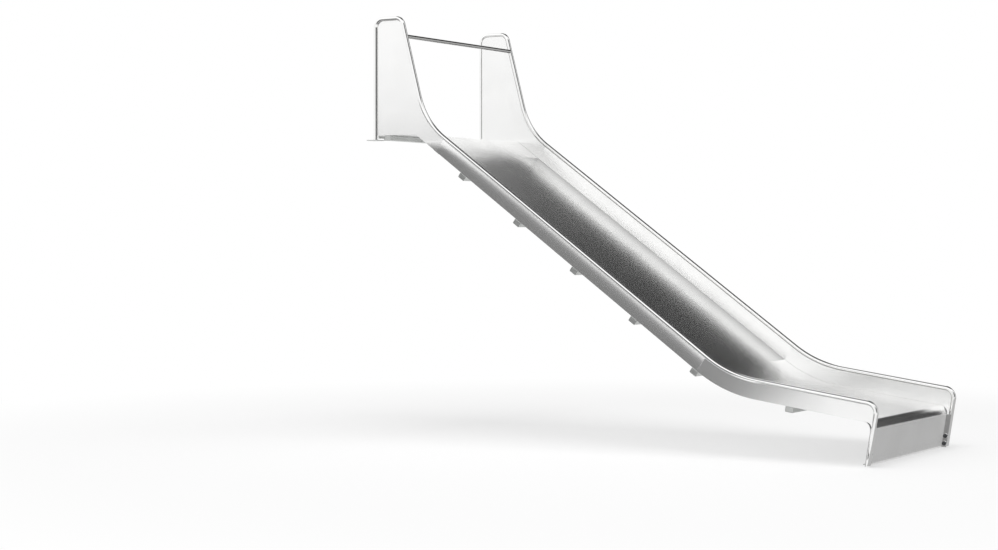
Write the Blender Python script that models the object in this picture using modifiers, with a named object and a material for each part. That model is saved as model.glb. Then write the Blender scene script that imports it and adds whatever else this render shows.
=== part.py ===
"""Embankment slide: a wide stainless steel chute that lies on a bank, from a flat start
between two handrail hoops to a rolled exit lip above a front apron.

The side view is worked out as a chain of straight lines that are followed downhill: post,
hoop top, steep rail, slope, run-out and exit leg. Everything else is an offset of that chain
to its right-hand side, which is the inner or lower side, so the bends stay concentric.
Units are metres, +X runs downhill, +Y to the rider's left and +Z up. The origin is the middle
of the underside of the platform beam, where the slide bears on the top of the bank.
"""

import math

import bmesh
import bpy
from mathutils import Matrix, Vector

# Overall side view
PLATFORM_LENGTH = 0.382
SLOPE_LENGTH = 3.274
SLOPE_ANGLE = math.radians(35.66)
RUNOUT_LENGTH = 1.150
RUNOUT_ANGLE = math.radians(7.99)
EXIT_HEIGHT = 0.299
LEG_LEAN = math.radians(9.2)
HOOP_HEIGHT = 0.917
HOOP_LENGTH = 0.255
STEEP_LEAN = math.radians(15.1)
SIDE_HEIGHT = 0.131

# Bend radii, on the rail's centre line for the rail and on the top face for the bed
HOOP_RADIUS = 0.070
UPPER_BEND_RADIUS = 0.590
LOWER_BEND_RADIUS = 0.880
EXIT_CORNER_RADIUS = 0.070
CREST_RADIUS = 0.030
LIP_RADIUS = 0.057

# Width and stock sizes
RAIL_SPACING = 1.534
RAIL_RADIUS = 0.01685
RAIL_WALL = 0.0026
BAR_RADIUS = 0.0150
BAR_WALL = 0.0020
SIDE_SHEET = 0.0030
BED_SHEET = 0.0030
SIDE_INSET = 0.0120
SIDE_CROWN = 0.0050
GAP = 0.0003

# Sections, and the guard bar's height above the platform
SEAM_TAIL = 0.008
RAIL_JOINT_OFFSET = 0.085
SPIGOT_LENGTH = 0.120
SPIGOT_WALL = 0.0030
GUARD_BAR_HEIGHT = 0.770
START_LIP_DEPTH = 0.025
STRAP_WIDTH = 0.060
STRAP_SHEET = 0.0030

# Cross beams of rectangular tube, and their end caps
BEAM_WIDTH = 0.060
BEAM_HEIGHT = 0.040
BEAM_WALL = 0.0030
BEAM_CORNER = 0.0050
BEAM_CAP = 0.0030
BEAM_PITCH = 0.613
BEAM_LAP = 0.017
RUNOUT_BEAM_FROM_BEND = 0.516
PLATFORM_BEAM_X = 0.110

# Side sheet's tail at the exit leg
TAIL_DROP = 0.062
TAIL_FLARE = math.radians(12.0)
TAIL_FILLET = 0.040

# Front apron, its bolts and its ground angle
APRON_SETBACK = 0.028
APRON_SHEET = 0.0030
APRON_BEND_RADIUS = 0.0030
APRON_FLANGE_REACH = 0.006
BOLT_SETBACK = 0.009
BOLT_HEIGHTS = (0.029, 0.085)
BOLT_SHANK_RADIUS = 0.0050
BOLT_SHANK_LENGTH = 0.012
DOME_RADIUS = 0.0175
DOME_HEIGHT = 0.0200
WASHER_RADIUS = 0.0135
WASHER_SHEET = 0.0030
HOLE_CLEARANCE = 0.0004
ANGLE_LEG = 0.050
ANGLE_SHEET = 0.0050
ANGLE_LENGTH = 1.300
ANGLE_HOLE_RADIUS = 0.0070
ANGLE_HOLE_SPACING = 1.000

# Post base plates
BASE_SIZE = 0.100
BASE_SHEET = 0.0060
BASE_HOLE_RADIUS = 0.0055
BASE_HOLE_SPACING = 0.070
LEG_PLUG_HEIGHT = 0.0040

# Fineness of the facets
ARC_STEP = math.radians(9.0)
CORNER_ARC_STEP = math.radians(31.0)
TUBE_SIDES = 12
ROUND_SIDES = 20
CUTTER_REACH = 0.050


class SideLine:
    """A straight run of the side view, as a point and a heading; its right-hand side is inside."""

    def __init__(self, point, angle):
        self.point = Vector(point)
        self.angle = angle
        self.direction = Vector((math.cos(angle), math.sin(angle)))

    def shifted(self, offset):
        """The parallel run that lies offset to the right of this one."""
        right = Vector((self.direction.y, -self.direction.x))
        return SideLine(self.point + right * offset, self.angle)

    def at(self, distance):
        """The point that lies distance along the run from its first point."""
        return self.point + self.direction * distance

    def meet(self, other):
        """The point where this run crosses the other one."""
        cross = self.direction.cross(other.direction)
        return self.at((other.point - self.point).cross(other.direction) / cross)

    def at_z(self, z):
        """The point of the run at this height."""
        return self.at((z - self.point.y) / self.direction.y)

    def along(self, point):
        """How far along the run this point lies."""
        return (point - self.point).dot(self.direction)


def bend(first, second, radius, offset=0.0, arc_step=ARC_STEP):
    """Points of the round bend from one run to the next, offset to the right of both."""
    entry = first.shifted(offset)
    leave = second.shifted(offset)
    turn = second.angle - first.angle
    side = math.copysign(1.0, turn)
    bent_radius = radius + side * offset
    start = entry.meet(leave) - entry.direction * (bent_radius * math.tan(abs(turn) / 2))
    inward = Vector((-entry.direction.y, entry.direction.x)) * side
    centre = start + inward * bent_radius
    steps = max(2, math.ceil(abs(turn) / arc_step))
    points = []
    for step in range(steps + 1):
        angle = turn * step / steps
        spoke = start - centre
        turned = Vector(
            (
                spoke.x * math.cos(angle) - spoke.y * math.sin(angle),
                spoke.x * math.sin(angle) + spoke.y * math.cos(angle),
            )
        )
        points.append(centre + turned)
    return points


# The chain of runs: the bed's top face first, then the rail that follows it
CREST = Vector((PLATFORM_LENGTH, 0.0))
BED_FLAT = SideLine((0.0, 0.0), 0.0)
BED_SLOPE = SideLine(CREST, -SLOPE_ANGLE)
BED_CORNER = BED_SLOPE.at(SLOPE_LENGTH)
BED_RUNOUT = SideLine(BED_CORNER, -RUNOUT_ANGLE)
BED_END = BED_RUNOUT.at(RUNOUT_LENGTH)
GROUND_Z = BED_END.y - EXIT_HEIGHT

POST = SideLine((0.0, 0.0), math.pi / 2)
HOOP_TOP = SideLine((0.0, HOOP_HEIGHT), 0.0)
STEEP = SideLine((HOOP_LENGTH, HOOP_HEIGHT), STEEP_LEAN - math.pi / 2)
RAIL_SLOPE = BED_SLOPE.shifted(-SIDE_HEIGHT)
RAIL_RUNOUT = BED_RUNOUT.shifted(-SIDE_HEIGHT)
LEG = SideLine(BED_END, -LEG_LEAN - math.pi / 2)
APRON_FACE = LEG.shifted(APRON_SETBACK)

# Where the sheets and beams lie, as offsets from the bed's top face or from the rail's axis
BED_UNDERSIDE = BED_SHEET
BEAM_TOP = BED_SHEET + GAP
BEAM_UNDERSIDE = BEAM_TOP + BEAM_HEIGHT
SIDE_OUTER = SIDE_INSET - SIDE_SHEET
RAIL_EDGE = math.sqrt(RAIL_RADIUS**2 - SIDE_OUTER**2) + GAP
RAIL_Y = RAIL_SPACING / 2
SIDE_INNER_Y = RAIL_Y - SIDE_INSET
SIDE_OUTER_Y = RAIL_Y - SIDE_OUTER
BED_HALF_WIDTH = SIDE_INNER_Y - GAP
FOUNDATION_Z = -BEAM_UNDERSIDE

# Seams between the three sections, as distances down the slope from the crest
UPPER_SEAM = BED_SLOPE.along(bend(STEEP, RAIL_SLOPE, UPPER_BEND_RADIUS)[-1]) + SEAM_TAIL
LOWER_SEAM = BED_SLOPE.along(bend(RAIL_SLOPE, RAIL_RUNOUT, LOWER_BEND_RADIUS)[0]) - SEAM_TAIL
BED_LOWER_RADIUS = LOWER_BEND_RADIUS + SIDE_HEIGHT

ORIGIN = Vector((-PLATFORM_BEAM_X, 0.0, -FOUNDATION_Z))
SIDES = (("left", 1.0), ("right", -1.0))


def clear_scene():
    """Removes every object, mesh and curve of the scene the script starts in."""
    for obj in list(bpy.data.objects):
        bpy.data.objects.remove(obj, do_unlink=True)


def new_collection(name, hidden=False):
    """Adds a collection to the scene."""
    collection = bpy.data.collections.new(name)
    collection.hide_render = hidden
    bpy.context.scene.collection.children.link(collection)
    return collection


def new_material(name, color, roughness, metallic=1.0):
    """A Principled BSDF material of one colour."""
    material = bpy.data.materials.new(name)
    material.use_nodes = True
    shader = material.node_tree.nodes["Principled BSDF"]
    shader.inputs["Base Color"].default_value = (*color, 1.0)
    shader.inputs["Roughness"].default_value = roughness
    shader.inputs["Metallic"].default_value = metallic
    return material


clear_scene()
SLIDE = new_collection("embankment_slide")
CUTTERS = new_collection("cutters", hidden=True)
FRAME = bpy.data.objects.new("slide_frame", None)
FRAME.location = ORIGIN
SLIDE.objects.link(FRAME)

SATIN_SHEET = new_material("satin_sheet", (0.62, 0.62, 0.61), 0.32)
POLISHED_TUBE = new_material("polished_tube", (0.72, 0.72, 0.71), 0.16)
BEAM_STEEL = new_material("beam_steel", (0.55, 0.56, 0.55), 0.42)
BRIGHT_FASTENER = new_material("bright_fastener", (0.66, 0.66, 0.67), 0.10)


def add_part(name, data, material, matrix=None):
    """Adds one sub-part to the slide, placed in the frame of the side view."""
    obj = bpy.data.objects.new(name, data)
    SLIDE.objects.link(obj)
    obj.parent = FRAME
    if matrix is not None:
        obj.matrix_basis = matrix
    data.materials.append(material)
    return obj


def upright(y):
    """The placement that stands a flat drawing up in the plane at this y, its z axis to -Y."""
    return Matrix.Translation((0.0, y, 0.0)) @ Matrix.Rotation(math.pi / 2, 4, "X")


def flat_curve(name, outlines, thickness):
    """A flat 2D curve through one or more closed outlines, with the given thickness."""
    curve = bpy.data.curves.new(name, "CURVE")
    curve.dimensions = "2D"
    curve.fill_mode = "BOTH"
    curve.extrude = thickness / 2
    for outline in outlines:
        spline = curve.splines.new("POLY")
        spline.points.add(len(outline) - 1)
        for point, place in zip(spline.points, outline):
            point.co = (place[0], place[1], 0.0, 1.0)
        spline.use_cyclic_u = True
    return curve


def extruded(name, outlines, y, thickness, material):
    """A piece of constant side view: outlines in (x, z), its mid-plane at y."""
    return add_part(name, flat_curve(name, outlines, thickness), material, upright(y))


def rail_curve(name, points, y, radius):
    """An open-ended round tube surface along side-view points at this y."""
    curve = bpy.data.curves.new(name, "CURVE")
    curve.dimensions = "3D"
    curve.bevel_depth = radius
    curve.bevel_resolution = (TUBE_SIDES - 4) // 2
    curve.use_fill_caps = False
    spline = curve.splines.new("POLY")
    spline.points.add(len(points) - 1)
    for point, place in zip(spline.points, points):
        point.co = (place[0], y, place[1], 1.0)
    return curve


def as_mesh(obj):
    """Turns a curve object into a mesh object of the same name and place, its seams welded."""
    name = obj.name
    curve = obj.data
    matrix = obj.matrix_basis.copy()
    evaluated = obj.evaluated_get(bpy.context.evaluated_depsgraph_get())
    mesh = bpy.data.meshes.new_from_object(evaluated)
    bpy.data.objects.remove(obj, do_unlink=True)
    bpy.data.curves.remove(curve)
    mesh.name = name
    welded = bmesh.new()
    welded.from_mesh(mesh)
    bmesh.ops.remove_doubles(welded, verts=welded.verts, dist=1e-6)
    welded.to_mesh(mesh)
    welded.free()
    result = bpy.data.objects.new(name, mesh)
    SLIDE.objects.link(result)
    result.parent = FRAME
    result.matrix_basis = matrix
    return result


def give_wall(obj, wall):
    """Gives an open tube surface its wall, inwards from the outer face."""
    solidify = obj.modifiers.new("wall", "SOLIDIFY")
    solidify.thickness = wall
    solidify.offset = -1.0
    solidify.use_even_offset = True


def cut(obj, cutter):
    """Cuts the cutter out of a mesh object with a Boolean modifier."""
    boolean = obj.modifiers.new("cut", "BOOLEAN")
    boolean.object = cutter
    boolean.operation = "DIFFERENCE"
    boolean.solver = "EXACT"


def add_cutter(name, mesh, matrix):
    """Adds a wire-drawn cutter that is left out of the finished slide."""
    obj = bpy.data.objects.new(name, mesh)
    CUTTERS.objects.link(obj)
    obj.parent = FRAME
    obj.matrix_basis = matrix
    obj.hide_render = True
    obj.display_type = "WIRE"
    return obj


def box_mesh(name, size, places=((0.0, 0.0, 0.0),)):
    """A mesh of equal boxes, each centred on one of the places."""
    shape = bmesh.new()
    for place in places:
        placed = Matrix.Translation(place) @ Matrix.Diagonal((*size, 1.0))
        bmesh.ops.create_cube(shape, size=1.0, matrix=placed)
    mesh = bpy.data.meshes.new(name)
    shape.to_mesh(mesh)
    shape.free()
    return mesh


def rod_mesh(name, radius, length, places, matrix=Matrix.Identity(4), sides=ROUND_SIDES):
    """A mesh of equal round rods along z, each centred on one of the places."""
    shape = bmesh.new()
    for place in places:
        bmesh.ops.create_cone(
            shape,
            cap_ends=True,
            segments=sides,
            radius1=radius,
            radius2=radius,
            depth=length,
            matrix=Matrix.Translation(place) @ matrix,
        )
    mesh = bpy.data.meshes.new(name)
    shape.to_mesh(mesh)
    shape.free()
    return mesh


def shade_round(obj):
    """Shades the round faces of a mesh smooth and keeps its edges sharp."""
    obj.data.shade_smooth()
    obj.data.set_sharp_from_angle(angle=math.radians(35.0))


def on_slope(distance, depth):
    """The side-view point this far down the slope from the crest and this deep below the bed."""
    return BED_SLOPE.shifted(depth).at(distance)


def on_rail(distance):
    """The point of the sloping rail's axis that lies square above this point of the bed."""
    return on_slope(distance, -SIDE_HEIGHT)


def bed_outline(top, underside):
    """The closed outline between a sheet's top line and its underside line."""
    return top + underside[::-1]


def start_bed():
    """The flat start and the crest, as one bent sheet with a turned-down rear lip."""
    rear_x = RAIL_RADIUS + GAP
    seam = UPPER_SEAM - GAP / 2
    top = [Vector((rear_x, -START_LIP_DEPTH)), Vector((rear_x, 0.0))]
    top += bend(BED_FLAT, BED_SLOPE, CREST_RADIUS)
    top.append(on_slope(seam, 0.0))
    inner_x = rear_x + BED_SHEET
    underside = [Vector((inner_x, -START_LIP_DEPTH)), Vector((inner_x, -BED_UNDERSIDE))]
    underside += bend(BED_FLAT, BED_SLOPE, CREST_RADIUS, BED_UNDERSIDE)
    underside.append(on_slope(seam, BED_UNDERSIDE))
    extruded("start_bed", [bed_outline(top, underside)], 0.0, 2 * BED_HALF_WIDTH, SATIN_SHEET)


def slope_bed():
    """The straight sheet of the middle section."""
    first = UPPER_SEAM + GAP / 2
    last = LOWER_SEAM - GAP / 2
    top = [on_slope(first, 0.0), on_slope(last, 0.0)]
    underside = [on_slope(first, BED_UNDERSIDE), on_slope(last, BED_UNDERSIDE)]
    extruded("slope_bed", [bed_outline(top, underside)], 0.0, 2 * BED_HALF_WIDTH, SATIN_SHEET)


def exit_bed():
    """The sheet that bends into the run-out and rolls over into the exit lip."""
    first = LOWER_SEAM + GAP / 2
    top = [on_slope(first, 0.0)]
    top += bend(BED_SLOPE, BED_RUNOUT, BED_LOWER_RADIUS)
    top += bend(BED_RUNOUT, APRON_FACE, LIP_RADIUS)
    underside = [on_slope(first, BED_UNDERSIDE)]
    underside += bend(BED_SLOPE, BED_RUNOUT, BED_LOWER_RADIUS, BED_UNDERSIDE)
    underside += bend(BED_RUNOUT, APRON_FACE, LIP_RADIUS, BED_UNDERSIDE)
    extruded("exit_bed", [bed_outline(top, underside)], 0.0, 2 * BED_HALF_WIDTH, SATIN_SHEET)


def side_y(side):
    """The mid-plane of a side sheet."""
    return side * (SIDE_INNER_Y + SIDE_OUTER_Y) / 2


def start_side(name, side):
    """The side sheet that fills a hoop and runs on to the upper seam."""
    seam = UPPER_SEAM - GAP / 2
    outline = [Vector((RAIL_EDGE, -BED_UNDERSIDE))]
    outline += bend(POST, HOOP_TOP, HOOP_RADIUS, RAIL_EDGE)
    outline += bend(HOOP_TOP, STEEP, HOOP_RADIUS, RAIL_EDGE)
    outline += bend(STEEP, RAIL_SLOPE, UPPER_BEND_RADIUS, RAIL_EDGE)
    outline.append(on_slope(seam, RAIL_EDGE - SIDE_HEIGHT))
    outline.append(on_slope(seam, BED_UNDERSIDE))
    outline += bend(BED_FLAT, BED_SLOPE, CREST_RADIUS, BED_UNDERSIDE)[::-1]
    extruded(name, [outline], side_y(side), SIDE_SHEET, SATIN_SHEET)


def slope_side(name, side):
    """The middle side sheet, rolled to a slight outward crown between rail and bed."""
    lowest = -BED_UNDERSIDE
    highest = SIDE_HEIGHT - RAIL_EDGE
    steps = 8
    inner = []
    outer = []
    for step in range(steps + 1):
        share = step / steps
        height = lowest + (highest - lowest) * share
        crown = SIDE_CROWN * 4 * share * (1 - share)
        inner.append((side * (SIDE_INNER_Y + crown), height))
        outer.append((side * (SIDE_OUTER_Y + crown), height))
    first = UPPER_SEAM + GAP / 2
    last = LOWER_SEAM - GAP / 2
    middle = on_slope((first + last) / 2, 0.0)
    down = BED_SLOPE.direction
    matrix = Matrix(
        (
            (0.0, -down.y, down.x, middle.x),
            (1.0, 0.0, 0.0, 0.0),
            (0.0, down.x, down.y, middle.y),
            (0.0, 0.0, 0.0, 1.0),
        )
    )
    add_part(name, flat_curve(name, [inner + outer[::-1]], last - first), SATIN_SHEET, matrix)


def exit_side(name, side):
    """The side sheet of the run-out, with its rounded tail down the exit leg."""
    first = LOWER_SEAM + GAP / 2
    depth = SIDE_HEIGHT + BED_UNDERSIDE
    bottom_line = RAIL_RUNOUT.shifted(depth)
    leg_edge = LEG.shifted(RAIL_EDGE)
    tip = leg_edge.meet(bottom_line) + LEG.direction * TAIL_DROP
    tail_line = SideLine(tip, LEG.angle + TAIL_FLARE)
    outline = [on_slope(first, RAIL_EDGE - SIDE_HEIGHT)]
    outline += bend(RAIL_SLOPE, RAIL_RUNOUT, LOWER_BEND_RADIUS, RAIL_EDGE)
    outline += bend(RAIL_RUNOUT, LEG, EXIT_CORNER_RADIUS, RAIL_EDGE)
    outline.append(tip)
    outline += bend(bottom_line, tail_line, TAIL_FILLET)[::-1]
    outline += bend(RAIL_SLOPE, RAIL_RUNOUT, LOWER_BEND_RADIUS, depth)[::-1]
    outline.append(on_slope(first, BED_UNDERSIDE))
    extruded(name, [outline], side_y(side), SIDE_SHEET, SATIN_SHEET)


def hoop_rail(name, side):
    """The post, hoop and steep handrail of one side, bent from one tube."""
    foot = Vector((0.0, FOUNDATION_Z + BASE_SHEET + GAP))
    points = [foot]
    points += bend(POST, HOOP_TOP, HOOP_RADIUS)
    points += bend(HOOP_TOP, STEEP, HOOP_RADIUS)
    points += bend(STEEP, RAIL_SLOPE, UPPER_BEND_RADIUS)
    points.append(on_rail(UPPER_SEAM + RAIL_JOINT_OFFSET - GAP / 2))
    rail = add_part(name, rail_curve(name, points, side * RAIL_Y, RAIL_RADIUS), POLISHED_TUBE)
    give_wall(rail, RAIL_WALL)


def slope_rail(name, side):
    """The straight edge tube of the middle section."""
    points = [
        on_rail(UPPER_SEAM + RAIL_JOINT_OFFSET + GAP / 2),
        on_rail(LOWER_SEAM - RAIL_JOINT_OFFSET - GAP / 2),
    ]
    rail = add_part(name, rail_curve(name, points, side * RAIL_Y, RAIL_RADIUS), POLISHED_TUBE)
    give_wall(rail, RAIL_WALL)


def bolt_places():
    """The x and z of each apron bolt, on a line behind the leg's axis."""
    line = LEG.shifted(BOLT_SETBACK)
    return [line.at_z(GROUND_Z + height) for height in BOLT_HEIGHTS]


def bolt_hole_cutter():
    """Rods that cut the bolt holes through the apron flanges and the inner walls of the legs."""
    flange_inner = RAIL_Y - RAIL_RADIUS - GAP - APRON_SHEET
    middle_y = (flange_inner + RAIL_Y) / 2
    places = [
        (place.x, side * middle_y, place.y) for place in bolt_places() for _, side in SIDES
    ]
    across = Matrix.Rotation(math.pi / 2, 4, "X")
    length = RAIL_Y - flange_inner + GAP
    mesh = rod_mesh("bolt_holes", BOLT_SHANK_RADIUS + HOLE_CLEARANCE, length, places, across)
    return add_cutter("bolt_holes", mesh, Matrix.Identity(4))


def ground_cutter():
    """A box below the ground that cuts the leaning pieces off level."""
    depth = CUTTER_REACH * 2
    size = (RUNOUT_LENGTH, RAIL_SPACING + depth, depth)
    mesh = box_mesh("below_ground", size, ((BED_END.x, 0.0, GROUND_Z - depth / 2),))
    return add_cutter("below_ground", mesh, Matrix.Identity(4))


def exit_rail(name, side, cutters):
    """The edge tube of the run-out, bent down at the front into the exit leg."""
    points = [on_rail(LOWER_SEAM - RAIL_JOINT_OFFSET + GAP / 2)]
    points += bend(RAIL_SLOPE, RAIL_RUNOUT, LOWER_BEND_RADIUS)
    points += bend(RAIL_RUNOUT, LEG, EXIT_CORNER_RADIUS)
    points.append(LEG.at_z(GROUND_Z - CUTTER_REACH / 2))
    rail = add_part(name, rail_curve(name, points, side * RAIL_Y, RAIL_RADIUS), POLISHED_TUBE)
    rail = as_mesh(rail)
    give_wall(rail, RAIL_WALL)
    for cutter in cutters:
        cut(rail, cutter)


def open_cylinder(radius, length, matrix):
    """The mesh of a round tube's outer face, open at both ends, placed by the matrix."""
    shape = bmesh.new()
    bmesh.ops.create_cone(
        shape,
        cap_ends=False,
        segments=TUBE_SIDES,
        radius1=radius,
        radius2=radius,
        depth=length,
        matrix=matrix,
    )
    mesh = bpy.data.meshes.new("open_cylinder")
    shape.to_mesh(mesh)
    shape.free()
    return mesh


def rail_spigot(name, side, joint):
    """The sleeve inside one rail joint, lying along the slope."""
    axis_point = on_rail(joint)
    place = Matrix.Translation((axis_point.x, side * RAIL_Y, axis_point.y))
    lie = Matrix.Rotation(SLOPE_ANGLE + math.pi / 2, 4, "Y")
    radius = RAIL_RADIUS - RAIL_WALL - GAP
    mesh = open_cylinder(radius, SPIGOT_LENGTH, place @ lie)
    give_wall(add_part(name, mesh, BEAM_STEEL), SPIGOT_WALL)


def guard_bar():
    """The bar across the entrance, set between the two steep rails."""
    centre = STEEP.at_z(GUARD_BAR_HEIGHT)
    length = RAIL_SPACING - 2 * (RAIL_RADIUS + GAP)
    across = Matrix.Rotation(math.pi / 2, 4, "X")
    place = Matrix.Translation((centre.x, 0.0, centre.y))
    mesh = open_cylinder(BAR_RADIUS, length, place @ across)
    give_wall(add_part("guard_bar", mesh, POLISHED_TUBE), BAR_WALL)


def rounded_box(line, middle, width, height, corner):
    """The outline of a rounded rectangle that lies along a run, its upper face on the run."""
    half = width / 2
    top = SideLine(line.at(middle), line.angle)
    front = SideLine(top.at(half), line.angle - math.pi / 2)
    bottom = SideLine(front.at(height), line.angle - math.pi)
    rear = SideLine(top.at(-half), line.angle - 3 * math.pi / 2)
    back_to_top = SideLine(top.point, line.angle - 2 * math.pi)
    points = []
    for first, second in ((top, front), (front, bottom), (bottom, rear), (rear, back_to_top)):
        points += bend(first, second, corner, arc_step=CORNER_ARC_STEP)
    return points


def beam(name, line, middle):
    """A cross beam of rectangular tube under a run of the bed, and the plates on its ends."""
    length = 2 * (SIDE_OUTER_Y - BEAM_CAP - GAP)
    outer = rounded_box(line, middle, BEAM_WIDTH, BEAM_HEIGHT, BEAM_CORNER)
    bore_line = line.shifted(BEAM_WALL)
    bore_width = BEAM_WIDTH - 2 * BEAM_WALL
    bore_height = BEAM_HEIGHT - 2 * BEAM_WALL
    bore = rounded_box(bore_line, middle, bore_width, bore_height, BEAM_CORNER - BEAM_WALL)
    extruded(name, [outer, bore], 0.0, length, BEAM_STEEL)
    for label, side in SIDES:
        cap_y = side * (SIDE_OUTER_Y - BEAM_CAP / 2)
        extruded(f"{name}_cap_{label}", [outer], cap_y, BEAM_CAP, BEAM_STEEL)


def slope_beam_distances():
    """How far down the slope each beam lies: the last laps the lower seam, the rest uphill."""
    last = LOWER_SEAM - BEAM_WIDTH / 2 + BEAM_LAP
    highest = UPPER_SEAM + STRAP_WIDTH / 2 + BEAM_WIDTH
    count = int((last - highest) / BEAM_PITCH) + 1
    return [last - BEAM_PITCH * step for step in range(count)][::-1]


def seam_strap():
    """The flat strap that backs the seam between the start bed and the slope bed."""
    line = BED_SLOPE.shifted(BEAM_TOP)
    half = STRAP_WIDTH / 2
    outline = [line.at(UPPER_SEAM - half), line.at(UPPER_SEAM + half)]
    deeper = line.shifted(STRAP_SHEET)
    outline += [deeper.at(UPPER_SEAM + half), deeper.at(UPPER_SEAM - half)]
    extruded("seam_strap", [outline], 0.0, 2 * BED_HALF_WIDTH, BEAM_STEEL)


def apron_section(z):
    """The apron's outer line in plan at a height: a flange, the face and the other flange."""
    face_x = APRON_FACE.at_z(z).x
    leg_x = LEG.at_z(z).x
    flange_y = RAIL_Y - RAIL_RADIUS - GAP
    radius = APRON_BEND_RADIUS + APRON_SHEET
    rear_x = face_x - APRON_SHEET
    half = [(leg_x + APRON_FLANGE_REACH, flange_y)]
    steps = 4
    for step in range(steps + 1):
        angle = math.pi / 2 * step / steps
        x = rear_x + radius * (1 - math.sin(angle))
        y = flange_y - radius * (1 - math.cos(angle))
        half.append((x, y))
    return half + [(x, -y) for x, y in half[::-1]]


def exit_apron(bolt_holes):
    """The front apron: a face below the lip, with a flange bent forward along each leg."""
    lip_end = bend(BED_RUNOUT, APRON_FACE, LIP_RADIUS)[-1]
    top_z = lip_end.y - GAP
    shape = bmesh.new()
    rows = []
    for z in (top_z, GROUND_Z):
        rows.append([shape.verts.new((x, y, z)) for x, y in apron_section(z)])
    for index in range(len(rows[0]) - 1):
        quad = (rows[1][index], rows[1][index + 1], rows[0][index + 1], rows[0][index])
        shape.faces.new(quad)
    mesh = bpy.data.meshes.new("exit_apron")
    shape.to_mesh(mesh)
    shape.free()
    apron = add_part("exit_apron", mesh, SATIN_SHEET)
    give_wall(apron, APRON_SHEET)
    cut(apron, bolt_holes)


def dome_profile():
    """Half the section of a dome-head bolt, from the top of its dome down to its shank's end."""
    steps = 6
    points = []
    for step in range(steps + 1):
        angle = math.pi / 2 * step / steps
        points.append((DOME_RADIUS * math.sin(angle), DOME_HEIGHT * math.cos(angle)))
    points.append((BOLT_SHANK_RADIUS, 0.0))
    points.append((BOLT_SHANK_RADIUS, -BOLT_SHANK_LENGTH))
    points.append((0.0, -BOLT_SHANK_LENGTH))
    return points


def turned_mesh(name, profile):
    """The mesh of a profile turned about z, made with a Screw modifier."""
    drawing = bmesh.new()
    verts = [drawing.verts.new((x, 0.0, z)) for x, z in profile]
    for first, second in zip(verts, verts[1:]):
        drawing.edges.new((first, second))
    mesh = bpy.data.meshes.new(name)
    drawing.to_mesh(mesh)
    drawing.free()
    obj = bpy.data.objects.new(name, mesh)
    SLIDE.objects.link(obj)
    screw = obj.modifiers.new("turn", "SCREW")
    screw.steps = ROUND_SIDES
    screw.render_steps = ROUND_SIDES
    screw.use_merge_vertices = True
    screw.merge_threshold = 1e-5
    evaluated = obj.evaluated_get(bpy.context.evaluated_depsgraph_get())
    turned = bpy.data.meshes.new_from_object(evaluated)
    bpy.data.objects.remove(obj, do_unlink=True)
    return turned


def seated(name, mesh, side, place, seat_y):
    """A copy of a turned mesh at a bolt's place, its local z pointing in from the seat."""
    turn = Matrix.Rotation(side * math.pi / 2, 4, "X")
    matrix = Matrix.Translation((place.x, side * seat_y, place.y)) @ turn
    shade_round(add_part(name, mesh.copy(), BRIGHT_FASTENER, matrix))


def apron_bolts():
    """The dome-head bolts of the apron's flanges and the washers under their heads."""
    flange_inner = RAIL_Y - RAIL_RADIUS - GAP - APRON_SHEET
    washer_seat = flange_inner - GAP
    head_seat = washer_seat - WASHER_SHEET - GAP
    bore = BOLT_SHANK_RADIUS + HOLE_CLEARANCE
    ring = [(WASHER_RADIUS, WASHER_SHEET), (WASHER_RADIUS, 0.0), (bore, 0.0), (bore, WASHER_SHEET)]
    bolt = turned_mesh("bolt", dome_profile())
    washer = turned_mesh("washer", ring + ring[:1])
    for label, side in SIDES:
        for level, place in zip(("lower", "upper"), bolt_places()):
            seated(f"apron_bolt_{level}_{label}", bolt, side, place, head_seat)
            seated(f"bolt_washer_{level}_{label}", washer, side, place, washer_seat)


def ground_angle():
    """The angle behind the apron's foot that is anchored to the ground."""
    rear = APRON_FACE.shifted(APRON_SHEET + GAP)
    foot = rear.at_z(GROUND_Z)
    head = rear.at_z(GROUND_Z + ANGLE_LEG)
    inner = rear.shifted(ANGLE_SHEET)
    inner_foot = inner.at_z(GROUND_Z + ANGLE_SHEET)
    heel_x = foot.x - ANGLE_LEG
    outline = [
        foot,
        head,
        inner.at_z(GROUND_Z + ANGLE_LEG),
        inner_foot,
        Vector((heel_x, GROUND_Z + ANGLE_SHEET)),
        Vector((heel_x, GROUND_Z)),
    ]
    angle = as_mesh(extruded("ground_angle", [outline], 0.0, ANGLE_LENGTH, BEAM_STEEL))
    middle_x = (heel_x + inner_foot.x) / 2
    places = [(middle_x, offset * ANGLE_HOLE_SPACING / 2, GROUND_Z) for offset in (-1.0, 0.0, 1.0)]
    mesh = rod_mesh("angle_holes", ANGLE_HOLE_RADIUS, CUTTER_REACH, places)
    cut(angle, add_cutter("angle_holes", mesh, Matrix.Identity(4)))


def post_base(name, side):
    """The base plate under a post, with its four fixing holes."""
    middle_z = FOUNDATION_Z + BASE_SHEET / 2
    place = (0.0, side * RAIL_Y, middle_z)
    mesh = box_mesh(name, (BASE_SIZE, BASE_SIZE, BASE_SHEET), (place,))
    plate = add_part(name, mesh, BEAM_STEEL)
    half = BASE_HOLE_SPACING / 2
    places = [(dx, side * RAIL_Y + dy, middle_z) for dx in (-half, half) for dy in (-half, half)]
    holes = rod_mesh(name + "_holes", BASE_HOLE_RADIUS, CUTTER_REACH, places)
    cut(plate, add_cutter(name + "_holes", holes, Matrix.Identity(4)))


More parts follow.
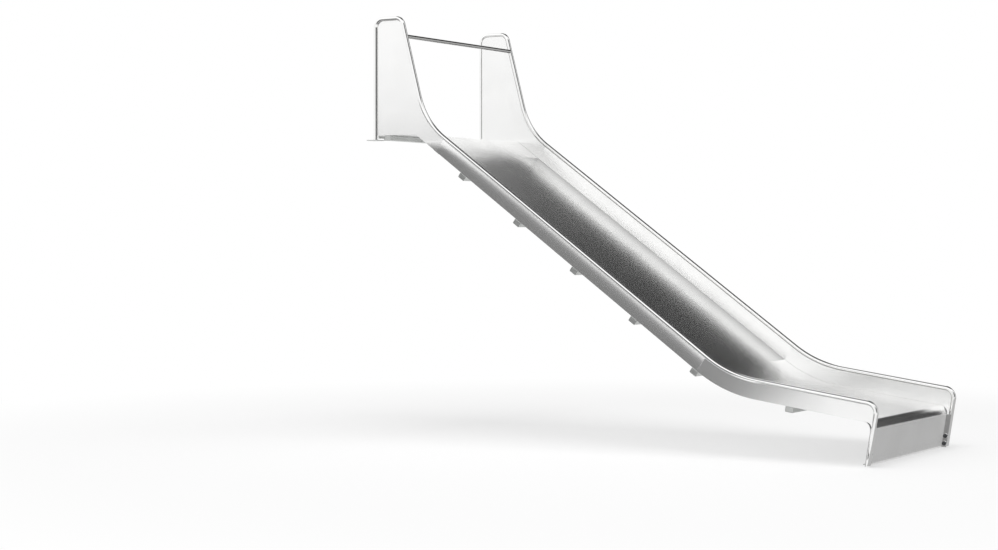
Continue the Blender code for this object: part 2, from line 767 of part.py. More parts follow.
def leg_plug(name, side, cutter):
    """The plug that closes the foot of an exit leg, cut off level with the ground."""
    foot = LEG.at_z(GROUND_Z)
    lean = Matrix.Rotation(LEG_LEAN, 4, "Y")
    radius = RAIL_RADIUS - RAIL_WALL - GAP
    place = (foot.x, side * RAIL_Y, foot.y)
    mesh = rod_mesh(name, radius, 2 * LEG_PLUG_HEIGHT, (place,), lean, TUBE_SIDES)
    cut(add_part(name, mesh, BEAM_STEEL), cutter)


def main():
    """Builds the slide from the start to the exit."""
    start_bed()
    slope_bed()
    exit_bed()
    below_ground = ground_cutter()
    bolt_holes = bolt_hole_cutter()
    for label, side in SIDES:
        start_side("start_side_" + label, side)
        slope_side("slope_side_" + label, side)
        exit_side("exit_side_" + label, side)
        hoop_rail("hoop_rail_" + label, side)
        slope_rail("slope_rail_" + label, side)
        exit_rail("exit_rail_" + label, side, (bolt_holes, below_ground))
        post_base("post_base_" + label, side)
        rail_spigot("upper_spigot_" + label, side, UPPER_SEAM + RAIL_JOINT_OFFSET)
        rail_spigot("lower_spigot_" + label, side, LOWER_SEAM - RAIL_JOINT_OFFSET)
        leg_plug("leg_plug_" + label, side, below_ground)
    guard_bar()
    seam_strap()
    beam("platform_beam", BED_FLAT.shifted(BEAM_TOP), PLATFORM_BEAM_X)
    for number, distance in enumerate(slope_beam_distances(), start=1):
        beam(f"slope_beam_{number}", BED_SLOPE.shifted(BEAM_TOP), distance)
    beam("runout_beam", BED_RUNOUT.shifted(BEAM_TOP), RUNOUT_BEAM_FROM_BEND)
    exit_apron(bolt_holes)
    apron_bolts()
    ground_angle()


main()
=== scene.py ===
"""Looks of the embankment slide: satin sheets, polished edge tubes, welds and studio.

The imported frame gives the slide's place and its hidden pieces. Every sheet, tube, beam and
bolt that shows is modelled again here with fine bends, in metres and in the frame of the row:
+X runs downhill, +Y to the rider's left and +Z up.
"""

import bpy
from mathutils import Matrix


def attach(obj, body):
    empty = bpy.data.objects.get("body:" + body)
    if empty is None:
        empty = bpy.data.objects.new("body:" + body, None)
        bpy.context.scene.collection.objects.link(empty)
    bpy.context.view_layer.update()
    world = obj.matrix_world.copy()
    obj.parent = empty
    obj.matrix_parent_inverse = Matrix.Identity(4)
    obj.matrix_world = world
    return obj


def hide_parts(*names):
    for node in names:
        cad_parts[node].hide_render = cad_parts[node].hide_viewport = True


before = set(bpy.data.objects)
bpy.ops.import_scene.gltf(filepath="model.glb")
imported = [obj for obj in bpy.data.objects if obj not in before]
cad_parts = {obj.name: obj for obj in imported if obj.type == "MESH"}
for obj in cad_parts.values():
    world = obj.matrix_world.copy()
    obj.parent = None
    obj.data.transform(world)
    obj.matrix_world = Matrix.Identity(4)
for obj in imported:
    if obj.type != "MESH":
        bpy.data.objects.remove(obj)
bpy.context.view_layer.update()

import logging
import math
from dataclasses import dataclass
from enum import Enum
from functools import cache, cached_property
from typing import Callable, ClassVar, Optional, Sequence, Union

import bmesh
import bpy
from mathutils import Vector

BODY = "root"
LOG = logging.getLogger("embankment_slide")


class Side(Enum):
    """The rider's left, which is the far side in the main view, and right."""

    LEFT = 1.0
    RIGHT = -1.0

    @property
    def label(self) -> str:
        """The word that ends the names of this side's pieces."""
        return self.name.lower()


class Section(Enum):
    """The three sections that the slide is delivered in."""

    START = "start"
    SLOPE = "slope"
    EXIT = "exit"


@dataclass(frozen=True)
class Straight:
    """A step of a route that goes straight by a vector."""

    vector: Vector


@dataclass(frozen=True)
class Turn:
    """A step of a route that goes round a centre; a positive angle turns to the left."""

    centre: Vector
    angle: float


Step = Union[Straight, Turn]


@dataclass(frozen=True)
class Run:
    """A straight run of the side view, whose right-hand side is the slide's inside."""

    x: float
    z: float
    heading: float

    @property
    def point(self) -> Vector:
        """The run's first point, as x and z."""
        return Vector((self.x, self.z))

    @property
    def direction(self) -> Vector:
        """The unit vector along the run."""
        return Vector((math.cos(self.heading), math.sin(self.heading)))

    @property
    def right(self) -> Vector:
        """The unit vector to the right of the run."""
        return Vector((math.sin(self.heading), -math.cos(self.heading)))

    def shifted(self, offset: float) -> "Run":
        """The parallel run that lies offset to the right."""
        place = self.point + self.right * offset
        return Run(place.x, place.y, self.heading)

    def at(self, distance: float) -> Vector:
        """The point that lies distance along the run."""
        return self.point + self.direction * distance

    def at_z(self, z: float) -> Vector:
        """The point of the run at a height."""
        return self.at((z - self.z) / self.direction.y)

    def along(self, place: Vector) -> float:
        """How far along the run a point lies."""
        return (place - self.point).dot(self.direction)

    def meet(self, other: "Run") -> Vector:
        """The point where this run crosses the other one."""
        cross = self.direction.cross(other.direction)
        return self.at((other.point - self.point).cross(other.direction) / cross)


@dataclass(frozen=True)
class Bend:
    """The round bend between two runs, moved to the right by an offset."""

    first: Run
    second: Run
    radius: float
    offset: float = 0.0

    @property
    def angle(self) -> float:
        """The angle that the bend turns by, positive to the left."""
        return self.second.heading - self.first.heading

    @property
    def side(self) -> float:
        """1 where the bend turns to the left, or -1 to the right."""
        return math.copysign(1.0, self.angle)

    @property
    def bent_radius(self) -> float:
        """The radius at this offset."""
        return self.radius + self.side * self.offset

    @cached_property
    def start(self) -> Vector:
        """The point where the bend begins."""
        entry = self.first.shifted(self.offset)
        corner = entry.meet(self.second.shifted(self.offset))
        return corner - entry.direction * self.bent_radius * math.tan(abs(self.angle) / 2)

    @cached_property
    def centre(self) -> Vector:
        """The centre that the bend goes round."""
        return self.start - self.first.right * self.side * self.bent_radius

    @cached_property
    def end(self) -> Vector:
        """The point where the bend ends."""
        return self.centre + self.second.right * self.side * self.bent_radius


class Route:
    """A line in the side view that a section is swept along: a start, then steps."""

    SHORTEST_STEP = 1e-7

    def __init__(self, start: Vector) -> None:
        """Starts a route.

        Args:
            start: The first point, as x and z.
        """
        self.start = start
        self.place = start
        self.steps: list[Step] = []

    def to(self, place: Vector) -> "Route":
        """Goes straight to a point, and returns the route."""
        if (place - self.place).length > self.SHORTEST_STEP:
            self.steps.append(Straight(place - self.place))
            self.place = place
        return self

    def round(self, *bends: Bend) -> "Route":
        """Goes straight to each bend and round it, and returns the route."""
        for bend in bends:
            self.to(bend.start)
            self.steps.append(Turn(bend.centre, bend.angle))
            self.place = bend.end
        return self

    def back_round(self, bend: Bend) -> "Route":
        """Goes straight to a bend's end and round it backwards, and returns the route."""
        self.to(bend.end)
        self.steps.append(Turn(bend.centre, -bend.angle))
        self.place = bend.start
        return self

    @property
    def heading(self) -> float:
        """The heading of the route's first step."""
        first = self.steps[0]
        if isinstance(first, Straight):
            return math.atan2(first.vector.y, first.vector.x)
        spoke = self.start - first.centre
        return math.atan2(spoke.x, -spoke.y) + (0.0 if first.angle > 0 else math.pi)


@dataclass(frozen=True)
class SideView:
    """The slide's driving sizes and the chain of straight runs that they make."""

    rear_x: float = -0.110
    platform_z: float = 0.0433
    platform_length: float = 0.382
    slope_length: float = 3.274
    slope_angle: float = math.radians(35.66)
    runout_length: float = 1.150
    runout_angle: float = math.radians(7.99)
    exit_height: float = 0.299
    leg_lean: float = math.radians(9.2)
    hoop_height: float = 0.917
    hoop_length: float = 0.255
    steep_lean: float = math.radians(15.1)
    side_height: float = 0.131
    guard_bar_height: float = 0.770
    hoop_radius: float = 0.070
    upper_radius: float = 0.590
    lower_radius: float = 0.880
    exit_corner_radius: float = 0.070
    crest_radius: float = 0.030
    lip_radius: float = 0.057
    seam_tail: float = 0.008
    tail_drop: float = 0.062
    apron_setback: float = 0.028
    gap: float = 0.0003

    @cached_property
    def bed_flat(self) -> Run:
        """The platform's top face."""
        return Run(self.rear_x, self.platform_z, 0.0)

    @cached_property
    def bed_slope(self) -> Run:
        """The slope's top face, from the crest."""
        crest = self.bed_flat.at(self.platform_length)
        return Run(crest.x, crest.y, -self.slope_angle)

    @cached_property
    def bed_runout(self) -> Run:
        """The run-out's top face."""
        corner = self.bed_slope.at(self.slope_length)
        return Run(corner.x, corner.y, -self.runout_angle)

    @cached_property
    def leg(self) -> Run:
        """The exit leg's centre line, heading down."""
        end = self.bed_runout.at(self.runout_length)
        return Run(end.x, end.y, -self.leg_lean - math.pi / 2)

    @cached_property
    def apron_face(self) -> Run:
        """The apron's front face, heading down."""
        return self.leg.shifted(self.apron_setback)

    @cached_property
    def ground_z(self) -> float:
        """The height of the ground at the exit."""
        return self.leg.z - self.exit_height

    @cached_property
    def post(self) -> Run:
        """The post's centre line, heading up."""
        return Run(self.rear_x, self.platform_z, math.pi / 2)

    @cached_property
    def hoop_top(self) -> Run:
        """The hoop's level top."""
        return Run(self.rear_x, self.platform_z + self.hoop_height, 0.0)

    @cached_property
    def steep(self) -> Run:
        """The steep handrail."""
        top = self.hoop_top.at(self.hoop_length)
        return Run(top.x, top.y, self.steep_lean - math.pi / 2)

    @cached_property
    def rail_slope(self) -> Run:
        """The edge tube's centre line along the slope."""
        return self.bed_slope.shifted(-self.side_height)

    @cached_property
    def rail_runout(self) -> Run:
        """The edge tube's centre line along the run-out."""
        return self.bed_runout.shifted(-self.side_height)

    @cached_property
    def upper_seam(self) -> float:
        """How far down the slope the upper seam lies."""
        return self.bed_slope.along(self.upper_bend().end) + self.seam_tail

    @cached_property
    def lower_seam(self) -> float:
        """How far down the slope the lower seam lies."""
        return self.bed_slope.along(self.lower_bend().start) - self.seam_tail

    def start_bends(self, offset: float = 0.0) -> tuple[Bend, Bend, Bend]:
        """The hoop's two bends and the upper bend, this far inside the tube's centre line."""
        return (
            Bend(self.post, self.hoop_top, self.hoop_radius, offset),
            Bend(self.hoop_top, self.steep, self.hoop_radius, offset),
            self.upper_bend(offset),
        )

    def upper_bend(self, offset: float = 0.0) -> Bend:
        """The bend from the steep handrail to the slope."""
        return Bend(self.steep, self.rail_slope, self.upper_radius, offset)

    def lower_bend(self, offset: float = 0.0) -> Bend:
        """The bend from the slope to the run-out, measured from the edge tube."""
        return Bend(self.rail_slope, self.rail_runout, self.lower_radius, offset)

    def exit_bends(self, offset: float = 0.0) -> tuple[Bend, Bend]:
        """The lower bend and the one down the leg, this far inside the tube's centre line."""
        corner = Bend(self.rail_runout, self.leg, self.exit_corner_radius, offset)
        return self.lower_bend(offset), corner

    def crest(self, depth: float = 0.0) -> Bend:
        """The bed's bend at the crest, this deep below its top face."""
        return Bend(self.bed_flat, self.bed_slope, self.crest_radius, depth)

    def lip(self, depth: float = 0.0) -> Bend:
        """The exit lip, this deep below the bed's top face."""
        return Bend(self.bed_runout, self.apron_face, self.lip_radius, depth)

    def on_slope(self, distance: float, depth: float = 0.0) -> Vector:
        """The point this far down the slope and this deep below the bed."""
        return self.bed_slope.shifted(depth).at(distance)


VIEW = SideView()


@dataclass(frozen=True)
class Stock:
    """The tube and sheet that the slide is made from, and how they lie across the slide."""

    rail_spacing: float = 1.534
    rail_radius: float = 0.01685
    rail_wall: float = 0.0026
    bar_radius: float = 0.0150
    sheet: float = 0.0030
    side_inset: float = 0.0120
    side_crown: float = 0.0050

    @property
    def rail_y(self) -> float:
        """How far the edge tube's centre line lies from the middle."""
        return self.rail_spacing / 2

    @property
    def side_inner_y(self) -> float:
        """How far the side sheet's inner face lies from the middle."""
        return self.rail_y - self.side_inset

    @property
    def side_middle_y(self) -> float:
        """How far the middle of the side sheet lies from the middle."""
        return self.side_inner_y + self.sheet / 2

    @property
    def side_outer_y(self) -> float:
        """How far the side sheet's outer face lies from the middle."""
        return self.side_inner_y + self.sheet

    @property
    def rail_edge(self) -> float:
        """How far below the tube's centre line the side sheet's edge meets the tube."""
        return math.sqrt(self.rail_radius**2 - (self.side_inset - self.sheet) ** 2) + VIEW.gap

    @property
    def bed_width(self) -> float:
        """The width of the bed between the side sheets."""
        return 2 * (self.side_inner_y - VIEW.gap)


STOCK = Stock()


class Bench:
    """Runs Blender's modelling operators on one piece at a time."""

    TINY = 0.001
    TURN_STEP = math.radians(2.5)
    FEWEST_STEPS = 2
    MERGE_WITHIN = 1e-6
    QUAD_CORNERS = 4
    SOFTEN_ABOVE = math.radians(40.0)
    SOFTEN_SEGMENTS = 2
    SMOOTH_BELOW = math.radians(35.0)
    FLAT_FACE_WEIGHT = 90

    @staticmethod
    def clear() -> None:
        """Leaves edit mode and deselects everything."""
        if bpy.context.mode != "OBJECT":
            bpy.ops.object.mode_set(mode="OBJECT")
        bpy.ops.object.select_all(action="DESELECT")

    @staticmethod
    def open(name: str) -> bpy.types.Object:
        """Names the primitive that was just added, applies its place and opens it for editing.

        Args:
            name: The piece's name.

        Returns:
            The piece, in edit mode and selected all over.
        """
        piece = bpy.context.active_object
        piece.name = name
        piece.data.name = name
        bpy.ops.object.transform_apply(location=True, rotation=True, scale=True)
        bpy.ops.object.mode_set(mode="EDIT")
        bpy.ops.mesh.select_mode(type="VERT")
        bpy.ops.mesh.select_all(action="SELECT")
        return piece

    @classmethod
    def point(cls, name: str, place: Vector, y: float) -> bpy.types.Object:
        """Starts a drawing at one vertex.

        Args:
            name: The piece's name.
            place: The vertex in the side view, as x and z.
            y: How far to the left the drawing's plane lies.

        Returns:
            The piece, in edit mode.
        """
        cls.clear()
        bpy.ops.mesh.primitive_plane_add(size=cls.TINY, location=(place.x, y, place.y))
        piece = cls.open(name)
        bpy.ops.mesh.merge(type="CENTER")
        bpy.ops.mesh.select_all(action="SELECT")
        return piece

    @classmethod
    def ring(
        cls, name: str, place: Vector, y: float, heading: float, radius: float, sides: int
    ) -> bpy.types.Object:
        """Starts a tube with a ring that faces along a heading.

        Args:
            name: The piece's name.
            place: The ring's centre in the side view, as x and z.
            y: How far to the left the centre lies.
            heading: The direction of the tube in the side view.
            radius: The tube's outer radius.
            sides: The number of sides.

        Returns:
            The piece, in edit mode.
        """
        cls.clear()
        bpy.ops.mesh.primitive_circle_add(
            vertices=sides,
            radius=radius,
            fill_type="NOTHING",
            location=(place.x, y, place.y),
            rotation=(0.0, math.pi / 2 - heading, 0.0),
        )
        return cls.open(name)

    @classmethod
    def strip(
        cls, name: str, place: Vector, heading: float, thickness: float, width: float
    ) -> bpy.types.Object:
        """Starts a sheet with its end face, which faces along a heading.

        Args:
            name: The piece's name.
            place: The face's centre in the side view, as x and z.
            heading: The direction of the sheet in the side view.
            thickness: The sheet's thickness.
            width: The sheet's width along y.

        Returns:
            The piece, in edit mode.
        """
        cls.clear()
        bpy.ops.mesh.primitive_plane_add(
            size=1.0,
            location=(place.x, 0.0, place.y),
            rotation=(0.0, math.pi / 2 - heading, 0.0),
        )
        bpy.context.active_object.scale = (thickness, width, 1.0)
        return cls.open(name)

    @staticmethod
    def push(x: float, y: float, z: float) -> None:
        """Extrudes what is selected by a vector."""
        bpy.ops.mesh.extrude_region_move(TRANSFORM_OT_translate={"value": (x, y, z)})

    @classmethod
    def follow(cls, route: Route, y: float, turn_step: float = TURN_STEP) -> None:
        """Extrudes and spins what is selected along a route.

        Args:
            route: The route in the side view.
            y: How far to the left the route's plane lies.
            turn_step: The angle between two rings of a bend.
        """
        for step in route.steps:
            if isinstance(step, Straight):
                cls.push(step.vector.x, 0.0, step.vector.y)
                continue
            bpy.ops.mesh.spin(
                steps=max(cls.FEWEST_STEPS, math.ceil(abs(step.angle) / turn_step)),
                angle=step.angle,
                center=(step.centre.x, y, step.centre.y),
                axis=(0.0, 1.0, 0.0),
            )

    @classmethod
    def fill_outline(cls) -> None:
        """Closes a drawn outline and fills it."""
        bpy.ops.mesh.select_all(action="SELECT")
        bpy.ops.mesh.remove_doubles(threshold=cls.MERGE_WITHIN)
        bpy.ops.mesh.edge_face_add()

    @staticmethod
    def fill_ends() -> None:
        """Caps the open ends of a tube with flat faces."""
        bpy.ops.mesh.select_all(action="DESELECT")
        bpy.ops.mesh.select_mode(type="EDGE")
        bpy.ops.mesh.select_non_manifold()
        bpy.ops.mesh.edge_face_add()

    @staticmethod
    def select_faces(piece: bpy.types.Object, wanted: Callable[[bmesh.types.BMFace], bool]) -> None:
        """Selects the faces of a piece in edit mode that pass a test.

        Args:
            piece: The piece, in edit mode.
            wanted: The test, given a face.
        """
        bpy.ops.mesh.select_mode(type="FACE")
        bpy.ops.mesh.select_all(action="DESELECT")
        mesh = bmesh.from_edit_mesh(piece.data)
        for face in mesh.faces:
            face.select_set(wanted(face))
        bmesh.update_edit_mesh(piece.data)

    @classmethod
    def merge(cls) -> None:
        """Merges doubles and turns the faces outwards."""
        bpy.ops.mesh.select_all(action="SELECT")
        bpy.ops.mesh.remove_doubles(threshold=cls.MERGE_WITHIN)
        bpy.ops.mesh.normals_make_consistent(inside=False)

    @classmethod
    def close(cls) -> None:
        """Merges doubles, turns the faces outwards and leaves edit mode."""
        cls.merge()
        bpy.ops.object.mode_set(mode="OBJECT")

    @staticmethod
    def modify(piece: bpy.types.Object, kind: str, **settings: object) -> None:
        """Adds a modifier and applies it.

        Args:
            piece: The piece, in object mode.
            kind: The modifier's type.
            settings: The modifier's settings.
        """
        bpy.context.view_layer.objects.active = piece
        modifier = piece.modifiers.new(kind.lower(), kind)
        for name, value in settings.items():
            setattr(modifier, name, value)
        bpy.ops.object.modifier_apply(modifier=modifier.name)

    @classmethod
    def thicken(cls, piece: bpy.types.Object, thickness: float, offset: float) -> None:
        """Gives an open surface its wall: offset -1 is inwards, 0 both ways and 1 outwards."""
        cls.modify(piece, "SOLIDIFY", thickness=thickness, offset=offset, use_even_offset=True)

    @classmethod
    def open_outwards(cls, piece: bpy.types.Object) -> None:
        """Turns an open tube's faces outwards by capping it for a moment, and leaves edit mode.

        Args:
            piece: The tube, in edit mode, open at both ends.
        """
        cls.fill_ends()
        cls.merge()
        cls.select_faces(piece, lambda face: len(face.verts) > cls.QUAD_CORNERS)
        bpy.ops.mesh.delete(type="ONLY_FACE")
        bpy.ops.object.mode_set(mode="OBJECT")

    @staticmethod
    def face_towards(piece: bpy.types.Object, direction: Vector) -> None:
        """Flips an open surface, in object mode, so that it faces along a direction on the whole."""
        total = sum((face.normal * face.area for face in piece.data.polygons), Vector())
        if total.dot(direction) < 0:
            piece.data.flip_normals()

    @classmethod
    def soften(cls, piece: bpy.types.Object, width: float) -> None:
        """Rounds the sharp edges of a piece."""
        cls.modify(
            piece,
            "BEVEL",
            width=width,
            segments=cls.SOFTEN_SEGMENTS,
            limit_method="ANGLE",
            angle_limit=cls.SOFTEN_ABOVE,
        )

    @classmethod
    def pick(cls, piece: bpy.types.Object) -> None:
        """Leaves one piece selected and active, in object mode."""
        cls.clear()
        piece.select_set(True)
        bpy.context.view_layer.objects.active = piece

    @classmethod
    def shade(cls, piece: bpy.types.Object) -> None:
        """Shades a piece smooth below an angle, with the flat faces' normals kept flat."""
        cls.pick(piece)
        bpy.ops.object.shade_smooth_by_angle(angle=cls.SMOOTH_BELOW)
        cls.modify(piece, "WEIGHTED_NORMAL", keep_sharp=True, weight=cls.FLAT_FACE_WEIGHT)
        piece.select_set(False)

    @classmethod
    def copy(
        cls, master: bpy.types.Object, name: str, place: Vector, turn: tuple[float, float, float]
    ) -> bpy.types.Object:
        """Copies a piece that was modelled at the origin, and applies the copy's place.

        Args:
            master: The piece to copy.
            name: The copy's name.
            place: Where the master's origin goes.
            turn: How the copy is turned, as Euler angles.

        Returns:
            The copy, with its own mesh, in object mode.
        """
        piece = master.copy()
        piece.data = master.data.copy()
        piece.name = name
        piece.data.name = name
        for collection in master.users_collection:
            collection.objects.link(piece)
        cls.pick(piece)
        piece.location = place
        piece.rotation_euler = turn
        bpy.ops.object.transform_apply(location=True, rotation=True, scale=True)
        return piece

    @staticmethod
    def discard(*masters: bpy.types.Object) -> None:
        """Deletes pieces that were only there to be copied, with their meshes."""
        for master in masters:
            mesh = master.data
            bpy.data.objects.remove(master)
            bpy.data.meshes.remove(mesh)


def grey(level: float) -> tuple[float, float, float, float]:
    """The opaque grey of a brightness."""
    return (level, level, level, 1.0)


class NodeSketch:
    """Adds nodes to a node tree and links them by name."""

    def __init__(self, tree: bpy.types.NodeTree) -> None:
        """Starts with the tree that the nodes go into.

        Args:
            tree: The node tree.
        """
        self.tree = tree

    def feed(self, node: bpy.types.Node, inputs: dict[Union[str, int], object]) -> None:
        """Sets the inputs of a node.

        Args:
            node: The node.
            inputs: Values or output sockets, by the input socket's name or number.
        """
        for key, value in inputs.items():
            if isinstance(value, bpy.types.NodeSocket):
                self.tree.links.new(value, node.inputs[key])
            else:
                node.inputs[key].default_value = value

    def add(
        self, kind: str, inputs: dict[Union[str, int], object], **settings: object
    ) -> bpy.types.Node:
        """Adds a node.

        Args:
            kind: The node's type.
            inputs: Values or output sockets, by the input socket's name or number.
            settings: The node's own settings.

        Returns:
            The node.
        """
        node = self.tree.nodes.new(kind)
        for name, value in settings.items():
            setattr(node, name, value)
        self.feed(node, inputs)
        return node

    def math(self, operation: str, *values: object, clamp: bool = False) -> bpy.types.NodeSocket:
        """Adds a Math node and returns its output."""
        node = self.add("ShaderNodeMath", dict(enumerate(values)), operation=operation, use_clamp=clamp)
        return node.outputs[0]

    def vector(self, operation: str, *values: object, output: str = "Vector") -> bpy.types.NodeSocket:
        """Adds a Vector Math node and returns one of its outputs."""
        node = self.add("ShaderNodeVectorMath", dict(enumerate(values)), operation=operation)
        return node.outputs[output]

    def join(self, x: object, y: object, z: object) -> bpy.types.NodeSocket:
        """Adds a Combine XYZ node and returns its output."""
        return self.add("ShaderNodeCombineXYZ", {"X": x, "Y": y, "Z": z}).outputs[0]

    def split(self, vector: object) -> tuple[bpy.types.NodeSocket, ...]:
        """Adds a Separate XYZ node and returns its outputs X, Y and Z."""
        return tuple(self.add("ShaderNodeSeparateXYZ", {0: vector}).outputs)

    def coordinates(self, system: str) -> bpy.types.NodeSocket:
        """Adds a Texture Coordinate node and returns the output of one system."""
        return self.add("ShaderNodeTexCoord", {}).outputs[system]

    def group(self, tree: bpy.types.NodeTree, inputs: dict[str, object]) -> bpy.types.NodeSocket:
        """Places a shared group and returns its output."""
        return self.add("ShaderNodeGroup", inputs, node_tree=tree).outputs[0]

    def glow(self, level: float) -> bpy.types.NodeSocket:
        """Adds a grey Emission node and returns its output."""
        return self.add("ShaderNodeEmission", {"Color": grey(level), "Strength": 1.0}).outputs[0]

    def mix_colour(self, factor: object, first: object, second: object) -> bpy.types.NodeSocket:
        """Adds a colour Mix node and returns its output."""
        node = self.add("ShaderNodeMix", {0: factor, 6: first, 7: second}, data_type="RGBA")
        return node.outputs[2]

    def smooth_step(
        self, value: object, low: float, high: float, to_low: float = 0.0, to_high: float = 1.0
    ) -> bpy.types.NodeSocket:
        """Adds a smooth Map Range node.

        Args:
            value: What is mapped.
            low: Where the step starts.
            high: Where the step ends.
            to_low: The output before the step.
            to_high: The output after the step.

        Returns:
            The node's output.
        """
        inputs = {"Value": value, "From Min": low, "From Max": high, "To Min": to_low, "To Max": to_high}
        node = self.add("ShaderNodeMapRange", inputs, interpolation_type="SMOOTHSTEP")
        return node.outputs[0]

    def noise(
        self, place: object, scale: object, detail: float, roughness: float = 0.5, distortion: float = 0.0
    ) -> bpy.types.Node:
        """Adds a Noise Texture node.

        Args:
            place: The place on the surface.
            scale: The noise's fineness.
            detail: How many finer layers it has.
            roughness: How strong the finer layers are.
            distortion: How much it swirls.

        Returns:
            The node.
        """
        inputs = {"Vector": place, "Scale": scale, "Detail": detail}
        inputs.update({"Roughness": roughness, "Distortion": distortion})
        return self.add("ShaderNodeTexNoise", inputs)

    def rays(self, *kinds: str) -> bpy.types.NodeSocket:
        """Adds the nodes that tell the rays of some kinds from all others.

        Args:
            kinds: Names of Light Path's rays, such as Camera.

        Returns:
            A value that is 1 for a ray of one of the kinds, and otherwise 0.
        """
        path = self.add("ShaderNodeLightPath", {}).outputs
        share = path[f"Is {kinds[0]} Ray"]
        for kind in kinds[1:]:
            share = self.math("MAXIMUM", share, path[f"Is {kind} Ray"])
        return share


class MaterialSketch(NodeSketch):
    """Draws one material around its Principled BSDF."""

    def __init__(self, name: str) -> None:
        """Starts the material.

        Args:
            name: The material's name.
        """
        self.material = bpy.data.materials.new(name)
        self.material.use_nodes = True
        super().__init__(self.material.node_tree)
        self.shader = self.tree.nodes["Principled BSDF"]

    def show_glow(self, surface: bpy.types.NodeSocket) -> None:
        """Shows a surface that glows, and keeps it out of the lamps that are sampled."""
        self.feed(self.tree.nodes["Material Output"], {"Surface": surface})
        self.material.cycles.emission_sampling = "NONE"


class GroupSketch(NodeSketch):
    """Draws one shader node group with named inputs and one float output."""

    def __init__(self, name: str, inputs: dict[str, Optional[float]], output: str) -> None:
        """Starts the group.

        Args:
            name: The group's name.
            inputs: Each input's default by its name, or None where it is a vector.
            output: The output's name.
        """
        super().__init__(bpy.data.node_groups.new(name, "ShaderNodeTree"))
        for label, default in inputs.items():
            kind = "NodeSocketVector" if default is None else "NodeSocketFloat"
            socket = self.tree.interface.new_socket(label, in_out="INPUT", socket_type=kind)
            if default is not None:
                socket.default_value = default
        self.tree.interface.new_socket(output, in_out="OUTPUT", socket_type="NodeSocketFloat")
        self.inputs = self.tree.nodes.new("NodeGroupInput").outputs

    def close(self, value: bpy.types.NodeSocket) -> bpy.types.NodeTree:
        """Feeds the group's output and returns the group."""
        self.feed(self.tree.nodes.new("NodeGroupOutput"), {0: value})
        return self.tree


class SurfaceGroups:
    """The shader node groups that the slide's finishes share, each built once."""

    SCRATCH_SWAY = (0.0, 0.05, 0.05)
    SCRATCH_FINENESS = (3.0, 160.0, 160.0)

    @classmethod
    @cache
    def grain(cls) -> bpy.types.NodeTree:
        """Long fine streaks along the local x axis, from 0 to 1, as satin grinding leaves."""
        group = GroupSketch("satin_grain", {"Place": None, "Fineness": 700.0, "Stretch": 60.0}, "Streaks")
        fineness = group.inputs["Fineness"]
        lengthwise = group.math("DIVIDE", fineness, group.inputs["Stretch"])
        scale = group.join(lengthwise, fineness, fineness)
        place = group.vector("MULTIPLY", group.inputs["Place"], scale)
        noise = group.noise(place, scale=1.0, detail=2.0, roughness=0.6)
        return group.close(group.smooth_step(noise.outputs["Fac"], low=0.25, high=0.75))

    @classmethod
    @cache
    def clouds(cls) -> bpy.types.NodeTree:
        """Broad soft patches from 0 to 1, as hands, rain and polishing leave."""
        group = GroupSketch("soft_patches", {"Place": None, "Scale": 3.0}, "Patches")
        place, scale = group.inputs["Place"], group.inputs["Scale"]
        noise = group.noise(place, scale, detail=4.0, roughness=0.55, distortion=0.4)
        return group.close(group.smooth_step(noise.outputs["Fac"], low=0.35, high=0.68))

    @classmethod
    @cache
    def scuffs(cls) -> bpy.types.NodeTree:
        """Sparse fine scratches along the local x axis, from 0 to 1, as shoes and zips leave."""
        group = GroupSketch("slide_scuffs", {"Place": None, "Amount": 0.5}, "Scuffs")
        place = group.inputs["Place"]
        wander = group.noise(place, scale=2.2, detail=1.0)
        sway = group.vector("MULTIPLY", wander.outputs["Color"], cls.SCRATCH_SWAY)
        fine = group.vector("MULTIPLY", group.vector("ADD", place, sway), cls.SCRATCH_FINENESS)
        lines = group.noise(fine, scale=1.0, detail=0.0)
        sharp = group.smooth_step(lines.outputs["Fac"], low=0.70, high=0.80)
        where = group.smooth_step(wander.outputs["Fac"], low=0.45, high=0.65)
        shown = group.math("MULTIPLY", sharp, where)
        return group.close(group.math("MULTIPLY", shown, group.inputs["Amount"]))

    @classmethod
    @cache
    def ground_film(cls) -> bpy.types.NodeTree:
        """A film of splashed dust from 0 to 1, thickest at the ground and broken up by noise."""
        group = GroupSketch("ground_film", {"Place": None, "Ground": 0.0, "Reach": 0.12}, "Film")
        place = group.inputs["Place"]
        _, _, z = group.split(place)
        height = group.math("SUBTRACT", z, group.inputs["Ground"])
        share = group.math("DIVIDE", height, group.inputs["Reach"])
        fade = group.smooth_step(share, low=0.0, high=1.0, to_low=1.0, to_high=0.0)
        noise = group.noise(place, scale=60.0, detail=5.0)
        broken = group.smooth_step(noise.outputs["Fac"], low=0.35, high=0.70)
        return group.close(group.math("MULTIPLY", fade, broken))

    @classmethod
    @cache
    def crease(cls) -> bpy.types.NodeTree:
        """How near a place on a bed is to its creases, from 1 at a crease to 0 out of reach: the mask of
        the painted crease shade.
        """
        group = GroupSketch("bed_crease", {"Place": None, "Half Width": 0.75, "Reach": 0.28}, "Nearness")
        _, y, _ = group.split(group.inputs["Place"])
        away = group.math("SUBTRACT", group.inputs["Half Width"], group.math("ABSOLUTE", y))
        share = group.math("DIVIDE", away, group.inputs["Reach"], clamp=True)
        return group.close(group.math("SUBTRACT", 1.0, share))


